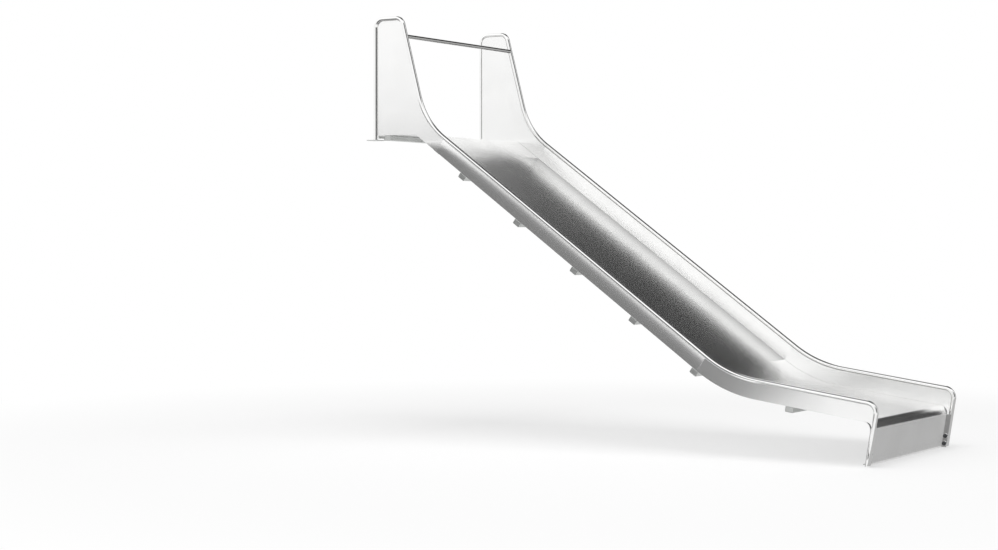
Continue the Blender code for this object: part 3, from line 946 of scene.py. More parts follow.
@dataclass(frozen=True)
class SteelFinish:
    """A stainless steel finish: its colour, its sheen, the marks of making and use, and painted shade
    along creases.

    Attributes:
        name: The material's name.
        slot: The record's material slot.
        colour: The steel's own colour.
        roughness: The sheen of clean, unworn steel.
        grain_angle: The grain's direction in the side view, as a heading in radians.
        grain_depth: How much the grain changes roughness and relief.
        patch_depth: How much the soft patches change roughness.
        scuff_amount: How strong the scratches are.
        polish: How much riders have polished the middle of a bed.
        crease_shade: How much darker painted shade makes the chute's two long creases, for camera rays
            only.
        crease_reach: How far from the creases the painted shade reaches.
        film: How much dust lies at the ground.
    """

    name: str
    slot: str
    colour: tuple[float, float, float]
    roughness: float
    grain_angle: float = 0.0
    grain_depth: float = 0.05
    patch_depth: float = 0.02
    scuff_amount: float = 0.0
    polish: float = 0.0
    crease_shade: float = 0.0
    crease_reach: float = 0.28
    film: float = 0.0

    POLISH_FULL_WITHIN: ClassVar[float] = 0.15
    POLISH_ENDS_AT: ClassVar[float] = 0.62
    SCUFF_ROUGHNESS: ClassVar[float] = 0.12
    LEAST_ROUGHNESS: ClassVar[float] = 0.04
    GRAIN_RELIEF: ClassVar[float] = 0.00002
    PATCH_LEVEL: ClassVar[float] = 0.965
    FILM_COLOUR: ClassVar[tuple[float, ...]] = (0.42, 0.39, 0.35, 1.0)

    def build(self) -> bpy.types.Material:
        """Builds the material.

        Returns:
            The material, with a Principled BSDF.
        """
        sketch = MaterialSketch(self.name)
        place = sketch.coordinates("Object")
        turned = sketch.add(
            "ShaderNodeMapping", {"Vector": place, "Rotation": (0.0, self.grain_angle, 0.0)}
        ).outputs[0]
        streaks = sketch.group(SurfaceGroups.grain(), {"Place": turned})
        patches = sketch.group(SurfaceGroups.clouds(), {"Place": place})
        relief = sketch.add(
            "ShaderNodeBump",
            {"Height": streaks, "Strength": self.grain_depth, "Distance": self.GRAIN_RELIEF},
        ).outputs[0]
        inputs = {
            "Metallic": 1.0,
            "Roughness": self._roughness(sketch, place, turned, streaks, patches),
            "Base Color": self._colour(sketch, place, patches),
            "Normal": relief,
        }
        sketch.feed(sketch.shader, inputs)
        return sketch.material

    def _roughness(
        self,
        sketch: NodeSketch,
        place: bpy.types.NodeSocket,
        turned: bpy.types.NodeSocket,
        streaks: bpy.types.NodeSocket,
        patches: bpy.types.NodeSocket,
    ) -> bpy.types.NodeSocket:
        """Adds the grain, the patches, the scuffs and the riders' polish to the roughness.

        Args:
            sketch: The material's sketch.
            place: The place on the piece.
            turned: The place, with x along the grain.
            streaks: The grain.
            patches: The soft patches.

        Returns:
            The roughness.
        """
        smoothest = self.roughness - self.grain_depth / 2
        value = sketch.math("MULTIPLY_ADD", streaks, self.grain_depth, smoothest)
        value = sketch.math("MULTIPLY_ADD", patches, self.patch_depth, value)
        if self.scuff_amount:
            inputs = {"Place": turned, "Amount": self.scuff_amount}
            scuffs = sketch.group(SurfaceGroups.scuffs(), inputs)
            value = sketch.math("MULTIPLY_ADD", scuffs, self.SCUFF_ROUGHNESS, value)
        if self.polish:
            _, y, _ = sketch.split(place)
            off_middle = sketch.math("ABSOLUTE", y)
            middle = sketch.smooth_step(
                off_middle, self.POLISH_FULL_WITHIN, self.POLISH_ENDS_AT, to_low=1.0, to_high=0.0
            )
            value = sketch.math("MULTIPLY_ADD", middle, -self.polish, value)
        return sketch.math("MAXIMUM", value, self.LEAST_ROUGHNESS)

    def _colour(
        self, sketch: NodeSketch, place: bpy.types.NodeSocket, patches: bpy.types.NodeSocket
    ) -> bpy.types.NodeSocket:
        """Varies the steel's colour a little, paints camera-only shade on the creases, lays dust near the
        ground.

        Args:
            sketch: The material's sketch.
            place: The place on the piece.
            patches: The soft patches.

        Returns:
            The colour.
        """
        clean = (*self.colour, 1.0)
        dull = (*(channel * self.PATCH_LEVEL for channel in self.colour), 1.0)
        colour = sketch.mix_colour(patches, clean, dull)
        # Painted shade: near the creases the colour darkens towards black, for camera rays only.
        if self.crease_shade:
            inputs = {"Place": place, "Half Width": STOCK.bed_width / 2, "Reach": self.crease_reach}
            near = sketch.group(SurfaceGroups.crease(), inputs)
            share = sketch.math("MULTIPLY", near, self.crease_shade)
            share = sketch.math("MULTIPLY", share, sketch.rays("Camera"))
            colour = sketch.mix_colour(share, colour, grey(0.0))
        if self.film:
            inputs = {"Place": place, "Ground": VIEW.ground_z}
            film = sketch.group(SurfaceGroups.ground_film(), inputs)
            share = sketch.math("MULTIPLY", film, self.film)
            colour = sketch.mix_colour(share, colour, self.FILM_COLOUR)
        return colour


class Finish(Enum):
    """The finishes that the slide's pieces take."""

    START_SHEET = SteelFinish(
        "start_sheet_satin", "satin_sheet", (0.96, 0.96, 0.955), 0.24,
        grain_angle=VIEW.bed_flat.heading, grain_depth=0.02, scuff_amount=0.25,
    )
    # The slope sheet's colour carries painted shade along its creases, for camera rays only.
    SLOPE_SHEET = SteelFinish(
        "slope_sheet_satin", "satin_sheet", (0.96, 0.96, 0.955), 0.24,
        grain_angle=VIEW.bed_slope.heading, grain_depth=0.02, scuff_amount=0.3, polish=0.02,
        crease_shade=0.62,
    )
    EXIT_SHEET = SteelFinish(
        "exit_sheet_satin", "satin_sheet", (0.96, 0.96, 0.955), 0.24,
        grain_angle=VIEW.bed_runout.heading, grain_depth=0.02, scuff_amount=0.3, polish=0.02,
    )
    SIDE_SHEET = SteelFinish(
        "side_sheet_satin", "satin_sheet", (0.97, 0.97, 0.965), 0.26,
        grain_angle=VIEW.bed_slope.heading, grain_depth=0.01, patch_depth=0.005,
    )
    # The apron's colour carries painted shade on its flanges and the strip beside them, for camera rays
    # only; its film is dust.
    APRON_SHEET = SteelFinish(
        "apron_sheet_satin", "satin_sheet", (0.90, 0.90, 0.895), 0.32,
        grain_angle=0.0, scuff_amount=0.2, crease_shade=0.75, crease_reach=0.022, film=0.12,
    )
    TUBE = SteelFinish(
        "edge_tube_polish", "polished_tube", (0.94, 0.94, 0.935), 0.10,
        grain_angle=VIEW.bed_slope.heading, grain_depth=0.02, patch_depth=0.01, scuff_amount=0.1,
    )
    BAR = SteelFinish(
        "guard_bar_polish", "polished_tube", (0.38, 0.38, 0.375), 0.12,
        grain_angle=0.0, grain_depth=0.02, patch_depth=0.01, scuff_amount=0.1,
    )
    BEAM = SteelFinish(
        "beam_pickled", "beam_steel", (0.62, 0.63, 0.62), 0.40,
        grain_depth=0.06, patch_depth=0.10, film=0.4,
    )
    FASTENER = SteelFinish(
        "bolt_dark_polish", "bright_fastener", (0.09, 0.093, 0.098), 0.12,
        grain_depth=0.02, patch_depth=0.02,
    )
    BED_WELD = SteelFinish(
        "bed_weld_dressed", "satin_sheet", (0.88, 0.88, 0.87), 0.30,
        grain_depth=0.10, patch_depth=0.08,
    )
    RAIL_WELD = SteelFinish(
        "rail_weld_tinted", "satin_sheet", (0.36, 0.355, 0.34), 0.30,
        grain_depth=0.10, patch_depth=0.08,
    )

    @property
    def slot(self) -> str:
        """The record's material slot of this finish."""
        return self.value.slot

    @property
    def material(self) -> bpy.types.Material:
        """The finish's material, built when it is first asked for."""
        return bpy.data.materials.get(self.value.name) or self.value.build()


def hand_over(piece: bpy.types.Object, finish: Finish, nodes: Sequence[str] = ()) -> None:
    """Dresses a finished piece, puts it on the body and hides the CAD nodes it stands for.

    Args:
        piece: The piece, at the origin.
        finish: The finish it takes.
        nodes: The CAD nodes that it replaces.
    """
    piece.data.materials.clear()
    piece.data.materials.append(finish.material)
    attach(piece, BODY)
    finish.slot
    if nodes:
        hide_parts(*nodes)
    LOG.info("%s: %d faces, %s", piece.name, len(piece.data.polygons), finish.name.lower())


@dataclass
class EdgeTubes:
    """The bent edge tubes of both sides and the guard bar between the steep handrails."""

    sides: int = 48
    joint_offset: float = 0.085
    base_sheet: float = 0.0060
    bar_wall: float = 0.0020
    bar_cope: float = 0.0060
    ground_overrun: float = 0.0200

    def hoop_route(self) -> Route:
        """The post, the hoop and the steep handrail, down to the joint on the slope."""
        foot = Vector((VIEW.rear_x, self.base_sheet + VIEW.gap))
        joint = VIEW.upper_seam + self.joint_offset - VIEW.gap / 2
        route = Route(foot).round(*VIEW.start_bends())
        return route.to(VIEW.on_slope(joint, -VIEW.side_height))

    def slope_route(self) -> Route:
        """The straight tube of the middle section."""
        first = VIEW.upper_seam + self.joint_offset + VIEW.gap / 2
        last = VIEW.lower_seam - self.joint_offset - VIEW.gap / 2
        route = Route(VIEW.on_slope(first, -VIEW.side_height))
        return route.to(VIEW.on_slope(last, -VIEW.side_height))

    def exit_route(self) -> Route:
        """The run-out tube and the exit leg, which overruns the ground before it is cut."""
        joint = VIEW.lower_seam - self.joint_offset + VIEW.gap / 2
        route = Route(VIEW.on_slope(joint, -VIEW.side_height)).round(*VIEW.exit_bends())
        return route.to(VIEW.leg.at_z(VIEW.ground_z - self.ground_overrun))

    def tube(self, name: str, route: Route, side: Side, cut_level: bool) -> bpy.types.Object:
        """Sweeps one hollow tube.

        Args:
            name: The piece's name.
            route: The tube's centre line.
            side: The side it is on.
            cut_level: Whether its far end is cut off level with the ground.

        Returns:
            The finished tube.
        """
        y = side.value * STOCK.rail_y
        piece = Bench.ring(name, route.start, y, route.heading, STOCK.rail_radius, self.sides)
        Bench.follow(route, y)
        if cut_level:
            bpy.ops.mesh.select_all(action="SELECT")
            bpy.ops.mesh.bisect(
                plane_co=(0.0, 0.0, VIEW.ground_z), plane_no=(0.0, 0.0, 1.0), clear_inner=True
            )
        Bench.open_outwards(piece)
        Bench.thicken(piece, STOCK.rail_wall, -1.0)
        Bench.shade(piece)
        return piece

    def guard_bar(self) -> bpy.types.Object:
        """The bar between the steep handrails, its ends coped into them."""
        centre = VIEW.steep.at_z(VIEW.platform_z + VIEW.guard_bar_height)
        half = STOCK.rail_y - STOCK.rail_radius + self.bar_cope
        Bench.clear()
        bpy.ops.mesh.primitive_circle_add(
            vertices=self.sides,
            radius=STOCK.bar_radius,
            fill_type="NOTHING",
            location=(centre.x, -half, centre.y),
            rotation=(math.pi / 2, 0.0, 0.0),
        )
        piece = Bench.open("guard_bar_tube")
        Bench.push(0.0, 2 * half, 0.0)
        Bench.open_outwards(piece)
        Bench.thicken(piece, self.bar_wall, -1.0)
        Bench.shade(piece)
        return piece

    def build(self) -> None:
        """Builds the tubes of both sides and the guard bar."""
        routes = {
            "hoop_rail": (self.hoop_route(), False),
            "slope_rail": (self.slope_route(), False),
            "exit_rail": (self.exit_route(), True),
        }
        for side in Side:
            for stem, (route, cut_level) in routes.items():
                piece = self.tube(f"{stem}_{side.label}_tube", route, side, cut_level)
                hand_over(piece, Finish.TUBE, [f"{stem}_{side.label}"])
                # The sheets that fill the hoops don't mirror the tubes round them.
                piece.visible_glossy = stem != "hoop_rail"
        hand_over(self.guard_bar(), Finish.BAR, ["guard_bar"])


@dataclass
class Chute:
    """The three bed sheets that a rider slides on."""

    rear_lip_depth: float = 0.025
    rear_corner_radius: float = 0.0045
    edge_softening: float = 0.0006

    @property
    def middle(self) -> float:
        """The depth of the sheet's middle below its top face."""
        return STOCK.sheet / 2

    def start_route(self) -> Route:
        """Up the turned-down rear lip, along the platform and over the crest."""
        rear_x = VIEW.rear_x + STOCK.rail_radius + VIEW.gap
        lip = Run(rear_x, VIEW.platform_z - self.rear_lip_depth, math.pi / 2)
        route = Route(lip.shifted(self.middle).point)
        route.round(Bend(lip, VIEW.bed_flat, self.rear_corner_radius, self.middle))
        route.round(VIEW.crest(self.middle))
        return route.to(VIEW.on_slope(VIEW.upper_seam - VIEW.gap / 2, self.middle))

    def slope_route(self) -> Route:
        """Straight down the middle section."""
        route = Route(VIEW.on_slope(VIEW.upper_seam + VIEW.gap / 2, self.middle))
        return route.to(VIEW.on_slope(VIEW.lower_seam - VIEW.gap / 2, self.middle))

    def exit_route(self) -> Route:
        """Round into the run-out and over the exit lip."""
        route = Route(VIEW.on_slope(VIEW.lower_seam + VIEW.gap / 2, self.middle))
        route.round(VIEW.lower_bend(VIEW.side_height + self.middle))
        return route.round(VIEW.lip(self.middle))

    def build(self) -> None:
        """Builds the three sheets."""
        sheets = {
            Section.START: (self.start_route(), Finish.START_SHEET),
            Section.SLOPE: (self.slope_route(), Finish.SLOPE_SHEET),
            Section.EXIT: (self.exit_route(), Finish.EXIT_SHEET),
        }
        for section, (route, finish) in sheets.items():
            name = f"{section.value}_bed_sheet"
            piece = Bench.strip(name, route.start, route.heading, STOCK.sheet, STOCK.bed_width)
            Bench.follow(route, 0.0)
            Bench.close()
            Bench.soften(piece, self.edge_softening)
            Bench.shade(piece)
            hand_over(piece, finish, [f"{section.value}_bed"])


@dataclass
class SidePanels:
    """The side sheets of the three sections, left and right."""

    tail_flare: float = math.radians(12.0)
    tail_fillet: float = 0.040
    crown_steps: int = 24
    edge_softening: float = 0.0007

    @property
    def underside(self) -> float:
        """The depth of the panels' lower edge below the bed's top face."""
        return STOCK.sheet

    def start_outline(self) -> Route:
        """Up the post, round the hoop, down to the upper seam and back under the bed."""
        edge = STOCK.rail_edge
        rear = VIEW.rear_x + edge
        route = Route(Vector((rear, VIEW.platform_z - self.underside)))
        route.round(*VIEW.start_bends(edge))
        seam = VIEW.upper_seam - VIEW.gap / 2
        route.to(VIEW.on_slope(seam, edge - VIEW.side_height))
        route.to(VIEW.on_slope(seam, self.underside))
        return route.back_round(VIEW.crest(self.underside))

    def exit_outline(self) -> Route:
        """Along the run-out, down the leg to the tail, and back under the bed."""
        edge = STOCK.rail_edge
        seam = VIEW.lower_seam + VIEW.gap / 2
        depth = VIEW.side_height + self.underside
        bottom = VIEW.rail_runout.shifted(depth)
        tip = VIEW.leg.shifted(edge).meet(bottom) + VIEW.leg.direction * VIEW.tail_drop
        tail = Run(tip.x, tip.y, VIEW.leg.heading + self.tail_flare)
        route = Route(VIEW.on_slope(seam, edge - VIEW.side_height))
        route.round(*VIEW.exit_bends(edge)).to(tip)
        route.back_round(Bend(bottom, tail, self.tail_fillet))
        route.back_round(VIEW.lower_bend(depth))
        return route.to(VIEW.on_slope(seam, self.underside))

    def flat_panel(self, name: str, outline: Route, side: Side) -> bpy.types.Object:
        """Draws a panel's outline, fills it and gives it its thickness.

        Args:
            name: The piece's name.
            outline: The panel's outline in the side view.
            side: The side it is on.

        Returns:
            The finished panel.
        """
        y = side.value * STOCK.side_middle_y
        piece = Bench.point(name, outline.start, y)
        Bench.follow(outline, y)
        Bench.fill_outline()
        Bench.close()
        Bench.thicken(piece, STOCK.sheet, 0.0)
        Bench.soften(piece, self.edge_softening)
        Bench.shade(piece)
        return piece

    def crowned_panel(self, name: str, side: Side) -> bpy.types.Object:
        """Bows the middle panel's section outwards and draws it down the slope.

        Args:
            name: The piece's name.
            side: The side it is on.

        Returns:
            The finished panel.
        """
        first = VIEW.upper_seam + VIEW.gap / 2
        length = VIEW.lower_seam - VIEW.upper_seam - VIEW.gap
        chord = VIEW.side_height - STOCK.rail_edge + self.underside
        radius = chord**2 / (8 * STOCK.side_crown) + STOCK.side_crown / 2
        middle = VIEW.on_slope(first, self.underside - chord / 2)
        centre_y = side.value * (STOCK.side_inner_y + STOCK.side_crown - radius)
        down = VIEW.bed_slope.direction
        foot = VIEW.on_slope(first, self.underside)
        piece = Bench.point(name, foot, side.value * STOCK.side_inner_y)
        bpy.ops.mesh.spin(
            steps=self.crown_steps,
            angle=2 * math.asin(chord / 2 / radius),
            center=(middle.x, centre_y, middle.y),
            axis=(-side.value * down.x, 0.0, -side.value * down.y),
        )
        bpy.ops.mesh.select_all(action="SELECT")
        Bench.push(down.x * length, 0.0, down.y * length)
        Bench.close()
        Bench.face_towards(piece, Vector((0.0, side.value, 0.0)))
        Bench.thicken(piece, STOCK.sheet, 1.0)
        Bench.soften(piece, self.edge_softening)
        Bench.shade(piece)
        return piece

    def build(self) -> None:
        """Builds the panels of both sides."""
        outlines = {Section.START: self.start_outline(), Section.EXIT: self.exit_outline()}
        for side in Side:
            for section in Section:
                node = f"{section.value}_side_{side.label}"
                if section in outlines:
                    panel = self.flat_panel(f"{node}_panel", outlines[section], side)
                else:
                    panel = self.crowned_panel(f"{node}_panel", side)
                hand_over(panel, Finish.SIDE_SHEET, [node])


@dataclass
class CrossBeams:
    """The rectangular tubes under the bed, with the plates that close their ends."""

    width: float = 0.060
    height: float = 0.040
    corner: float = 0.0050
    corner_segments: int = 5
    cap: float = 0.0030
    cap_softening: float = 0.0007
    pitch: float = 0.613
    lap: float = 0.017
    count: int = 5
    runout_from_bend: float = 0.516
    platform_beam_x: float = 0.110

    def places(self) -> dict[str, tuple[Run, float]]:
        """Each beam's node, the run of the bed that it lies under and its distance along it."""
        last = VIEW.lower_seam - self.width / 2 + self.lap
        found = {"platform_beam": (VIEW.bed_flat, self.platform_beam_x)}
        for number in range(1, self.count + 1):
            distance = last - self.pitch * (self.count - number)
            found[f"slope_beam_{number}"] = (VIEW.bed_slope, distance)
        found["runout_beam"] = (VIEW.bed_runout, self.runout_from_bend)
        return found

    def bar(self, name: str, length: float) -> bpy.types.Object:
        """Models a bar with rounded edges at the origin, to be copied.

        Args:
            name: The bar's name.
            length: Its length along y.

        Returns:
            The bar, in object mode and not shaded.
        """
        Bench.clear()
        bpy.ops.mesh.primitive_cube_add(size=1.0)
        bpy.context.active_object.scale = (self.width, length, self.height)
        piece = Bench.open(name)
        bpy.ops.mesh.bevel(offset=self.corner, segments=self.corner_segments, affect="EDGES")
        Bench.close()
        return piece

    @staticmethod
    def lay(master: bpy.types.Object, name: str, node: str, centre: Run, y: float) -> None:
        """Copies a bar under the bed and hands the copy over.

        Args:
            master: The bar to copy.
            name: The copy's name.
            node: The CAD node that it replaces.
            centre: The beam's centre and the heading of the bed above it.
            y: The middle of its length.
        """
        place = Vector((centre.x, y, centre.z))
        piece = Bench.copy(master, name, place, (0.0, -centre.heading, 0.0))
        Bench.shade(piece)
        hand_over(piece, Finish.BEAM, [node])

    def build(self) -> None:
        """Builds every beam and its two end plates as copies of one tube and one plate."""
        tube = self.bar("beam_tube", 2 * (STOCK.side_outer_y - self.cap - VIEW.gap))
        plate = self.bar("beam_end", self.cap)
        Bench.soften(plate, self.cap_softening)
        plate_y = STOCK.side_outer_y - self.cap / 2
        depth = STOCK.sheet + VIEW.gap + self.height / 2
        for node, (run, distance) in self.places().items():
            middle = run.shifted(depth).at(distance)
            centre = Run(middle.x, middle.y, run.heading)
            self.lay(tube, f"{node}_tube", node, centre, 0.0)
            for side in Side:
                name, cap_node = f"{node}_end_{side.label}", f"{node}_cap_{side.label}"
                self.lay(plate, name, cap_node, centre, side.value * plate_y)
        Bench.discard(tube, plate)


@dataclass
class ExitApron:
    """The front apron with its flanges, and the bolts that hold it to the legs."""

    sheet: float = 0.0030
    bend_radius: float = 0.0030
    flange_reach: float = 0.006
    edge_softening: float = 0.0006
    bolt_setback: float = 0.009
    bolt_heights: tuple[float, float] = (0.029, 0.085)
    dome_radius: float = 0.0185
    dome_height: float = 0.0340
    skirt: float = 0.0130
    shank_radius: float = 0.0050
    shank_length: float = 0.0120
    washer_radius: float = 0.0135
    washer_sheet: float = 0.0030
    bore_clearance: float = 0.0004
    round_sides: int = 48
    bend_steps: int = 8

    FACING_DOWN: ClassVar[float] = -0.9

    @property
    def flange_y(self) -> float:
        """How far the flanges' outer faces lie from the middle."""
        return STOCK.rail_y - STOCK.rail_radius - VIEW.gap

    @property
    def washer_seat(self) -> float:
        """How far the washers' outer faces lie from the middle."""
        return self.flange_y - self.sheet - VIEW.gap

    @property
    def bolt_seat(self) -> float:
        """How far the flat undersides of the bolts' domes lie from the middle."""
        return self.washer_seat - self.washer_sheet - VIEW.gap

    def apron(self) -> bpy.types.Object:
        """Draws the apron's section on the ground and draws it up along the legs' lean."""
        outer = self.bend_radius + self.sheet
        ground = VIEW.ground_z
        face_x = VIEW.apron_face.at_z(ground).x
        tip_x = VIEW.leg.at_z(ground).x + self.flange_reach
        rear_x = face_x - self.sheet
        top = VIEW.lip().end.y - VIEW.gap
        rise = top - ground
        lean = VIEW.apron_face.at_z(top).x - face_x
        piece = Bench.point("exit_apron_sheet", Vector((tip_x, ground)), -self.flange_y)
        Bench.push(rear_x + outer - tip_x, 0.0, 0.0)
        self._corner(rear_x + outer, outer - self.flange_y, ground)
        Bench.push(0.0, 2 * (self.flange_y - outer), 0.0)
        self._corner(rear_x + outer, self.flange_y - outer, ground)
        Bench.push(tip_x - rear_x - outer, 0.0, 0.0)
        bpy.ops.mesh.select_all(action="SELECT")
        Bench.push(lean, 0.0, rise)
        Bench.close()
        Bench.face_towards(piece, Vector((-1.0, 0.0, 0.0)))
        Bench.thicken(piece, self.sheet, -1.0)
        Bench.soften(piece, self.edge_softening)
        Bench.shade(piece)
        return piece

    def _corner(self, x: float, y: float, z: float) -> None:
        """Spins the drawing's end round one bend of the apron, seen from above."""
        bpy.ops.mesh.spin(
            steps=self.bend_steps, angle=math.pi / 2, center=(x, y, z), axis=(0.0, 0.0, 1.0)
        )

    def bolt(self) -> bpy.types.Object:
        """Models the dome-head bolt at the origin, to be copied.

        Returns:
            The bolt, seated at z = 0 with its dome upwards.
        """
        Bench.clear()
        bpy.ops.mesh.primitive_uv_sphere_add(
            segments=self.round_sides, ring_count=self.round_sides // 2, radius=1.0
        )
        bpy.context.active_object.scale = (self.dome_radius, self.dome_radius, self.dome_height)
        piece = Bench.open("dome_bolt")
        bpy.ops.mesh.bisect(
            plane_co=(0.0, 0.0, 0.0), plane_no=(0.0, 0.0, 1.0), clear_inner=True, use_fill=True
        )
        Bench.select_faces(piece, lambda face: face.normal.z < self.FACING_DOWN)
        bpy.ops.mesh.inset(thickness=self.dome_radius - self.shank_radius)
        Bench.push(0.0, 0.0, -self.shank_length)
        Bench.close()
        Bench.soften(piece, self.edge_softening)
        return piece

    def washer(self) -> bpy.types.Object:
        """Models the washer at the origin by spinning its section, to be copied.

        Returns:
            The washer, with its outer face at z = 0.
        """
        bore = self.shank_radius + self.bore_clearance
        middle = (bore + self.washer_radius) / 2
        Bench.clear()
        bpy.ops.mesh.primitive_plane_add(
            size=1.0, location=(middle, 0.0, self.washer_sheet / 2), rotation=(math.pi / 2, 0.0, 0.0)
        )
        bpy.context.active_object.scale = (self.washer_radius - bore, self.washer_sheet, 1.0)
        piece = Bench.open("dome_washer")
        bpy.ops.mesh.delete(type="ONLY_FACE")
        bpy.ops.mesh.select_all(action="SELECT")
        bpy.ops.mesh.spin(
            steps=self.round_sides, angle=2 * math.pi, center=(0.0, 0.0, 0.0), axis=(0.0, 0.0, 1.0)
        )
        Bench.close()
        Bench.soften(piece, self.edge_softening)
        return piece

    @staticmethod
    def fasten(
        master: bpy.types.Object, name: str, node: str, side: Side, place: Vector, seat: float
    ) -> bpy.types.Object:
        """Copies a bolt or washer, with its z axis pointing in from the flange, and hands it over.

        Args:
            master: The bolt or washer to copy.
            name: The copy's name.
            node: The CAD node that it replaces.
            side: The side it is on.
            place: Its axis in the side view.
            seat: How far its seat lies from the middle.

        Returns:
            The copy.
        """
        origin = Vector((place.x, side.value * seat, place.y))
        piece = Bench.copy(master, name, origin, (side.value * math.pi / 2, 0.0, 0.0))
        Bench.shade(piece)
        hand_over(piece, Finish.FASTENER, [node])
        # The apron doesn't mirror the small bright heads beside it.
        piece.visible_glossy = False
        return piece

    def brighten_skirt(self, bolt: bpy.types.Object) -> None:
        """Gives the skirt round a bolt's seat the tubes' polish."""
        bolt.data.materials.append(Finish.TUBE.material)
        for face in bolt.data.polygons:
            inner_y = abs(face.center.y)
            face.material_index = int(self.bolt_seat - self.skirt < inner_y < self.bolt_seat)

    def build(self) -> None:
        """Builds the apron, its four bolts and their washers."""
        hand_over(self.apron(), Finish.APRON_SHEET, ["exit_apron"])
        line = VIEW.leg.shifted(self.bolt_setback)
        bolt, washer = self.bolt(), self.washer()
        for side in Side:
            for level, height in zip(("lower", "upper"), self.bolt_heights):
                place = line.at_z(VIEW.ground_z + height)
                stem = f"{level}_{side.label}"
                placed = self.fasten(
                    bolt, f"dome_bolt_{stem}", f"apron_bolt_{stem}", side, place, self.bolt_seat
                )
                self.brighten_skirt(placed)
                self.fasten(
                    washer, f"dome_washer_{stem}", f"bolt_washer_{stem}", side, place, self.washer_seat
                )
        Bench.discard(bolt, washer)


@dataclass
class WeldBeads:
    """The dressed weld beads between tubes, panels and bed."""

    radius: float = 0.0016
    sides: int = 10
    turn_step: float = math.radians(4.0)

    def bead(self, name: str, route: Route, y: float, finish: Finish) -> None:
        """Sweeps one bead along a route and hands it over.

        Args:
            name: The piece's name.
            route: The bead's centre line.
            y: How far to the left it lies.
            finish: The finish it takes.
        """
        piece = Bench.ring(name, route.start, y, route.heading, self.radius, self.sides)
        Bench.follow(route, y, self.turn_step)
        Bench.fill_ends()
        Bench.close()
        Bench.shade(piece)
        hand_over(piece, finish)

    def rail_routes(self, depth: float) -> dict[Section, Route]:
        """The lines along each section's tube, this far below its centre line."""
        start = Route(Vector((VIEW.rear_x + depth, VIEW.platform_z)))
        start.round(*VIEW.start_bends(depth))
        above_bed = depth - VIEW.side_height
        start.to(VIEW.on_slope(VIEW.upper_seam, above_bed))
        slope = Route(VIEW.on_slope(VIEW.upper_seam, above_bed))
        slope.to(VIEW.on_slope(VIEW.lower_seam, above_bed))
        leave = Route(VIEW.on_slope(VIEW.lower_seam, above_bed))
        leave.round(*VIEW.exit_bends(depth))
        leave.to(VIEW.leg.shifted(depth).at_z(VIEW.leg.z - VIEW.tail_drop))
        return {Section.START: start, Section.SLOPE: slope, Section.EXIT: leave}

    def bed_routes(self) -> dict[Section, Route]:
        """The creases between bed and side panels."""
        past_post = 2 * STOCK.rail_radius
        start = Route(VIEW.bed_flat.at(past_post))
        start.round(VIEW.crest()).to(VIEW.on_slope(VIEW.upper_seam))
        slope = Route(VIEW.on_slope(VIEW.upper_seam)).to(VIEW.on_slope(VIEW.lower_seam))
        leave = Route(VIEW.on_slope(VIEW.lower_seam))
        leave.round(VIEW.lower_bend(VIEW.side_height)).round(VIEW.lip())
        return {Section.START: start, Section.SLOPE: slope, Section.EXIT: leave}

    def build(self) -> None:
        """Lays the beads of both sides."""
        inner_depth = math.sqrt(STOCK.rail_radius**2 - STOCK.side_inset**2)
        outer_depth = STOCK.rail_edge
        lines = {
            "inner_rail_weld": (self.rail_routes(inner_depth), STOCK.side_inner_y, Finish.RAIL_WELD),
            "outer_rail_weld": (self.rail_routes(outer_depth), STOCK.side_outer_y, Finish.RAIL_WELD),
            "bed_weld": (self.bed_routes(), STOCK.side_inner_y, Finish.BED_WELD),
        }
        for side in Side:
            for stem, (routes, y, finish) in lines.items():
                for section, route in routes.items():
                    name = f"{section.value}_{stem}_{side.label}"
                    self.bead(name, route, side.value * y, finish)


@dataclass
class HiddenSteel:
    """The CAD nodes that keep their own shape and only get a finish."""

    nodes: tuple[str, ...] = (
        "seam_strap", "post_base_left", "post_base_right", "ground_angle",
        "leg_plug_left", "leg_plug_right", "upper_spigot_left", "upper_spigot_right",
        "lower_spigot_left", "lower_spigot_right",
    )

    def build(self) -> None:
        """Gives each node the beam steel's finish."""
        for name in self.nodes:
            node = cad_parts[name]
            node.data.materials.clear()
            node.data.materials.append(Finish.BEAM.material)
            LOG.info("%s: CAD node kept, %s", name, Finish.BEAM.name.lower())


@dataclass(frozen=True)
class DomeZone:
    """A soft-edged grey zone of the studio's white dome, which polished steel mirrors.

    Attributes:
        low: The elevation of its full strength's lower end, in degrees.
        edge: How far its soft edge reaches past each of its sides, in degrees.
        level: Its brightness, where the dome's white is 1.
        high: The elevation of its full strength's upper end, if it ends below the zenith.
        azimuth: The heading of its middle, in degrees from +X.
        half_width: From its middle to where it starts to fade, if it doesn't go all round.
    """

    low: float
    edge: float
    level: float
    high: Optional[float] = None
    azimuth: float = 0.0
    half_width: Optional[float] = None

    def shade(self, sketch: NodeSketch, heading: object, rise: object) -> bpy.types.NodeSocket:
        """Adds the nodes that say how bright the dome is as far as this zone goes.

        Args:
            sketch: The sketch on the world's node tree.
            heading: The level direction's unit vector.
            rise: The sine of the elevation.

        Returns:
            The brightness: 1 outside the zone, its own level inside.
        """
        angle, edge = math.radians(self.azimuth), math.radians(self.edge)
        low = math.radians(self.low)
        share = sketch.smooth_step(rise, math.sin(low - edge), math.sin(low))
        if self.high is not None:
            high = math.radians(self.high)
            below = sketch.smooth_step(rise, math.sin(high), math.sin(high + edge), 1.0, 0.0)
            share = sketch.math("MULTIPLY", share, below)
        if self.half_width is not None:
            facing = sketch.vector(
                "DOT_PRODUCT", heading, (math.cos(angle), math.sin(angle), 0.0), output="Value"
            )
            half = math.radians(self.half_width)
            across = sketch.smooth_step(facing, math.cos(half + edge), math.cos(half))
            share = sketch.math("MULTIPLY", share, across)
        return sketch.math("MULTIPLY_ADD", share, self.level - 1.0, 1.0)


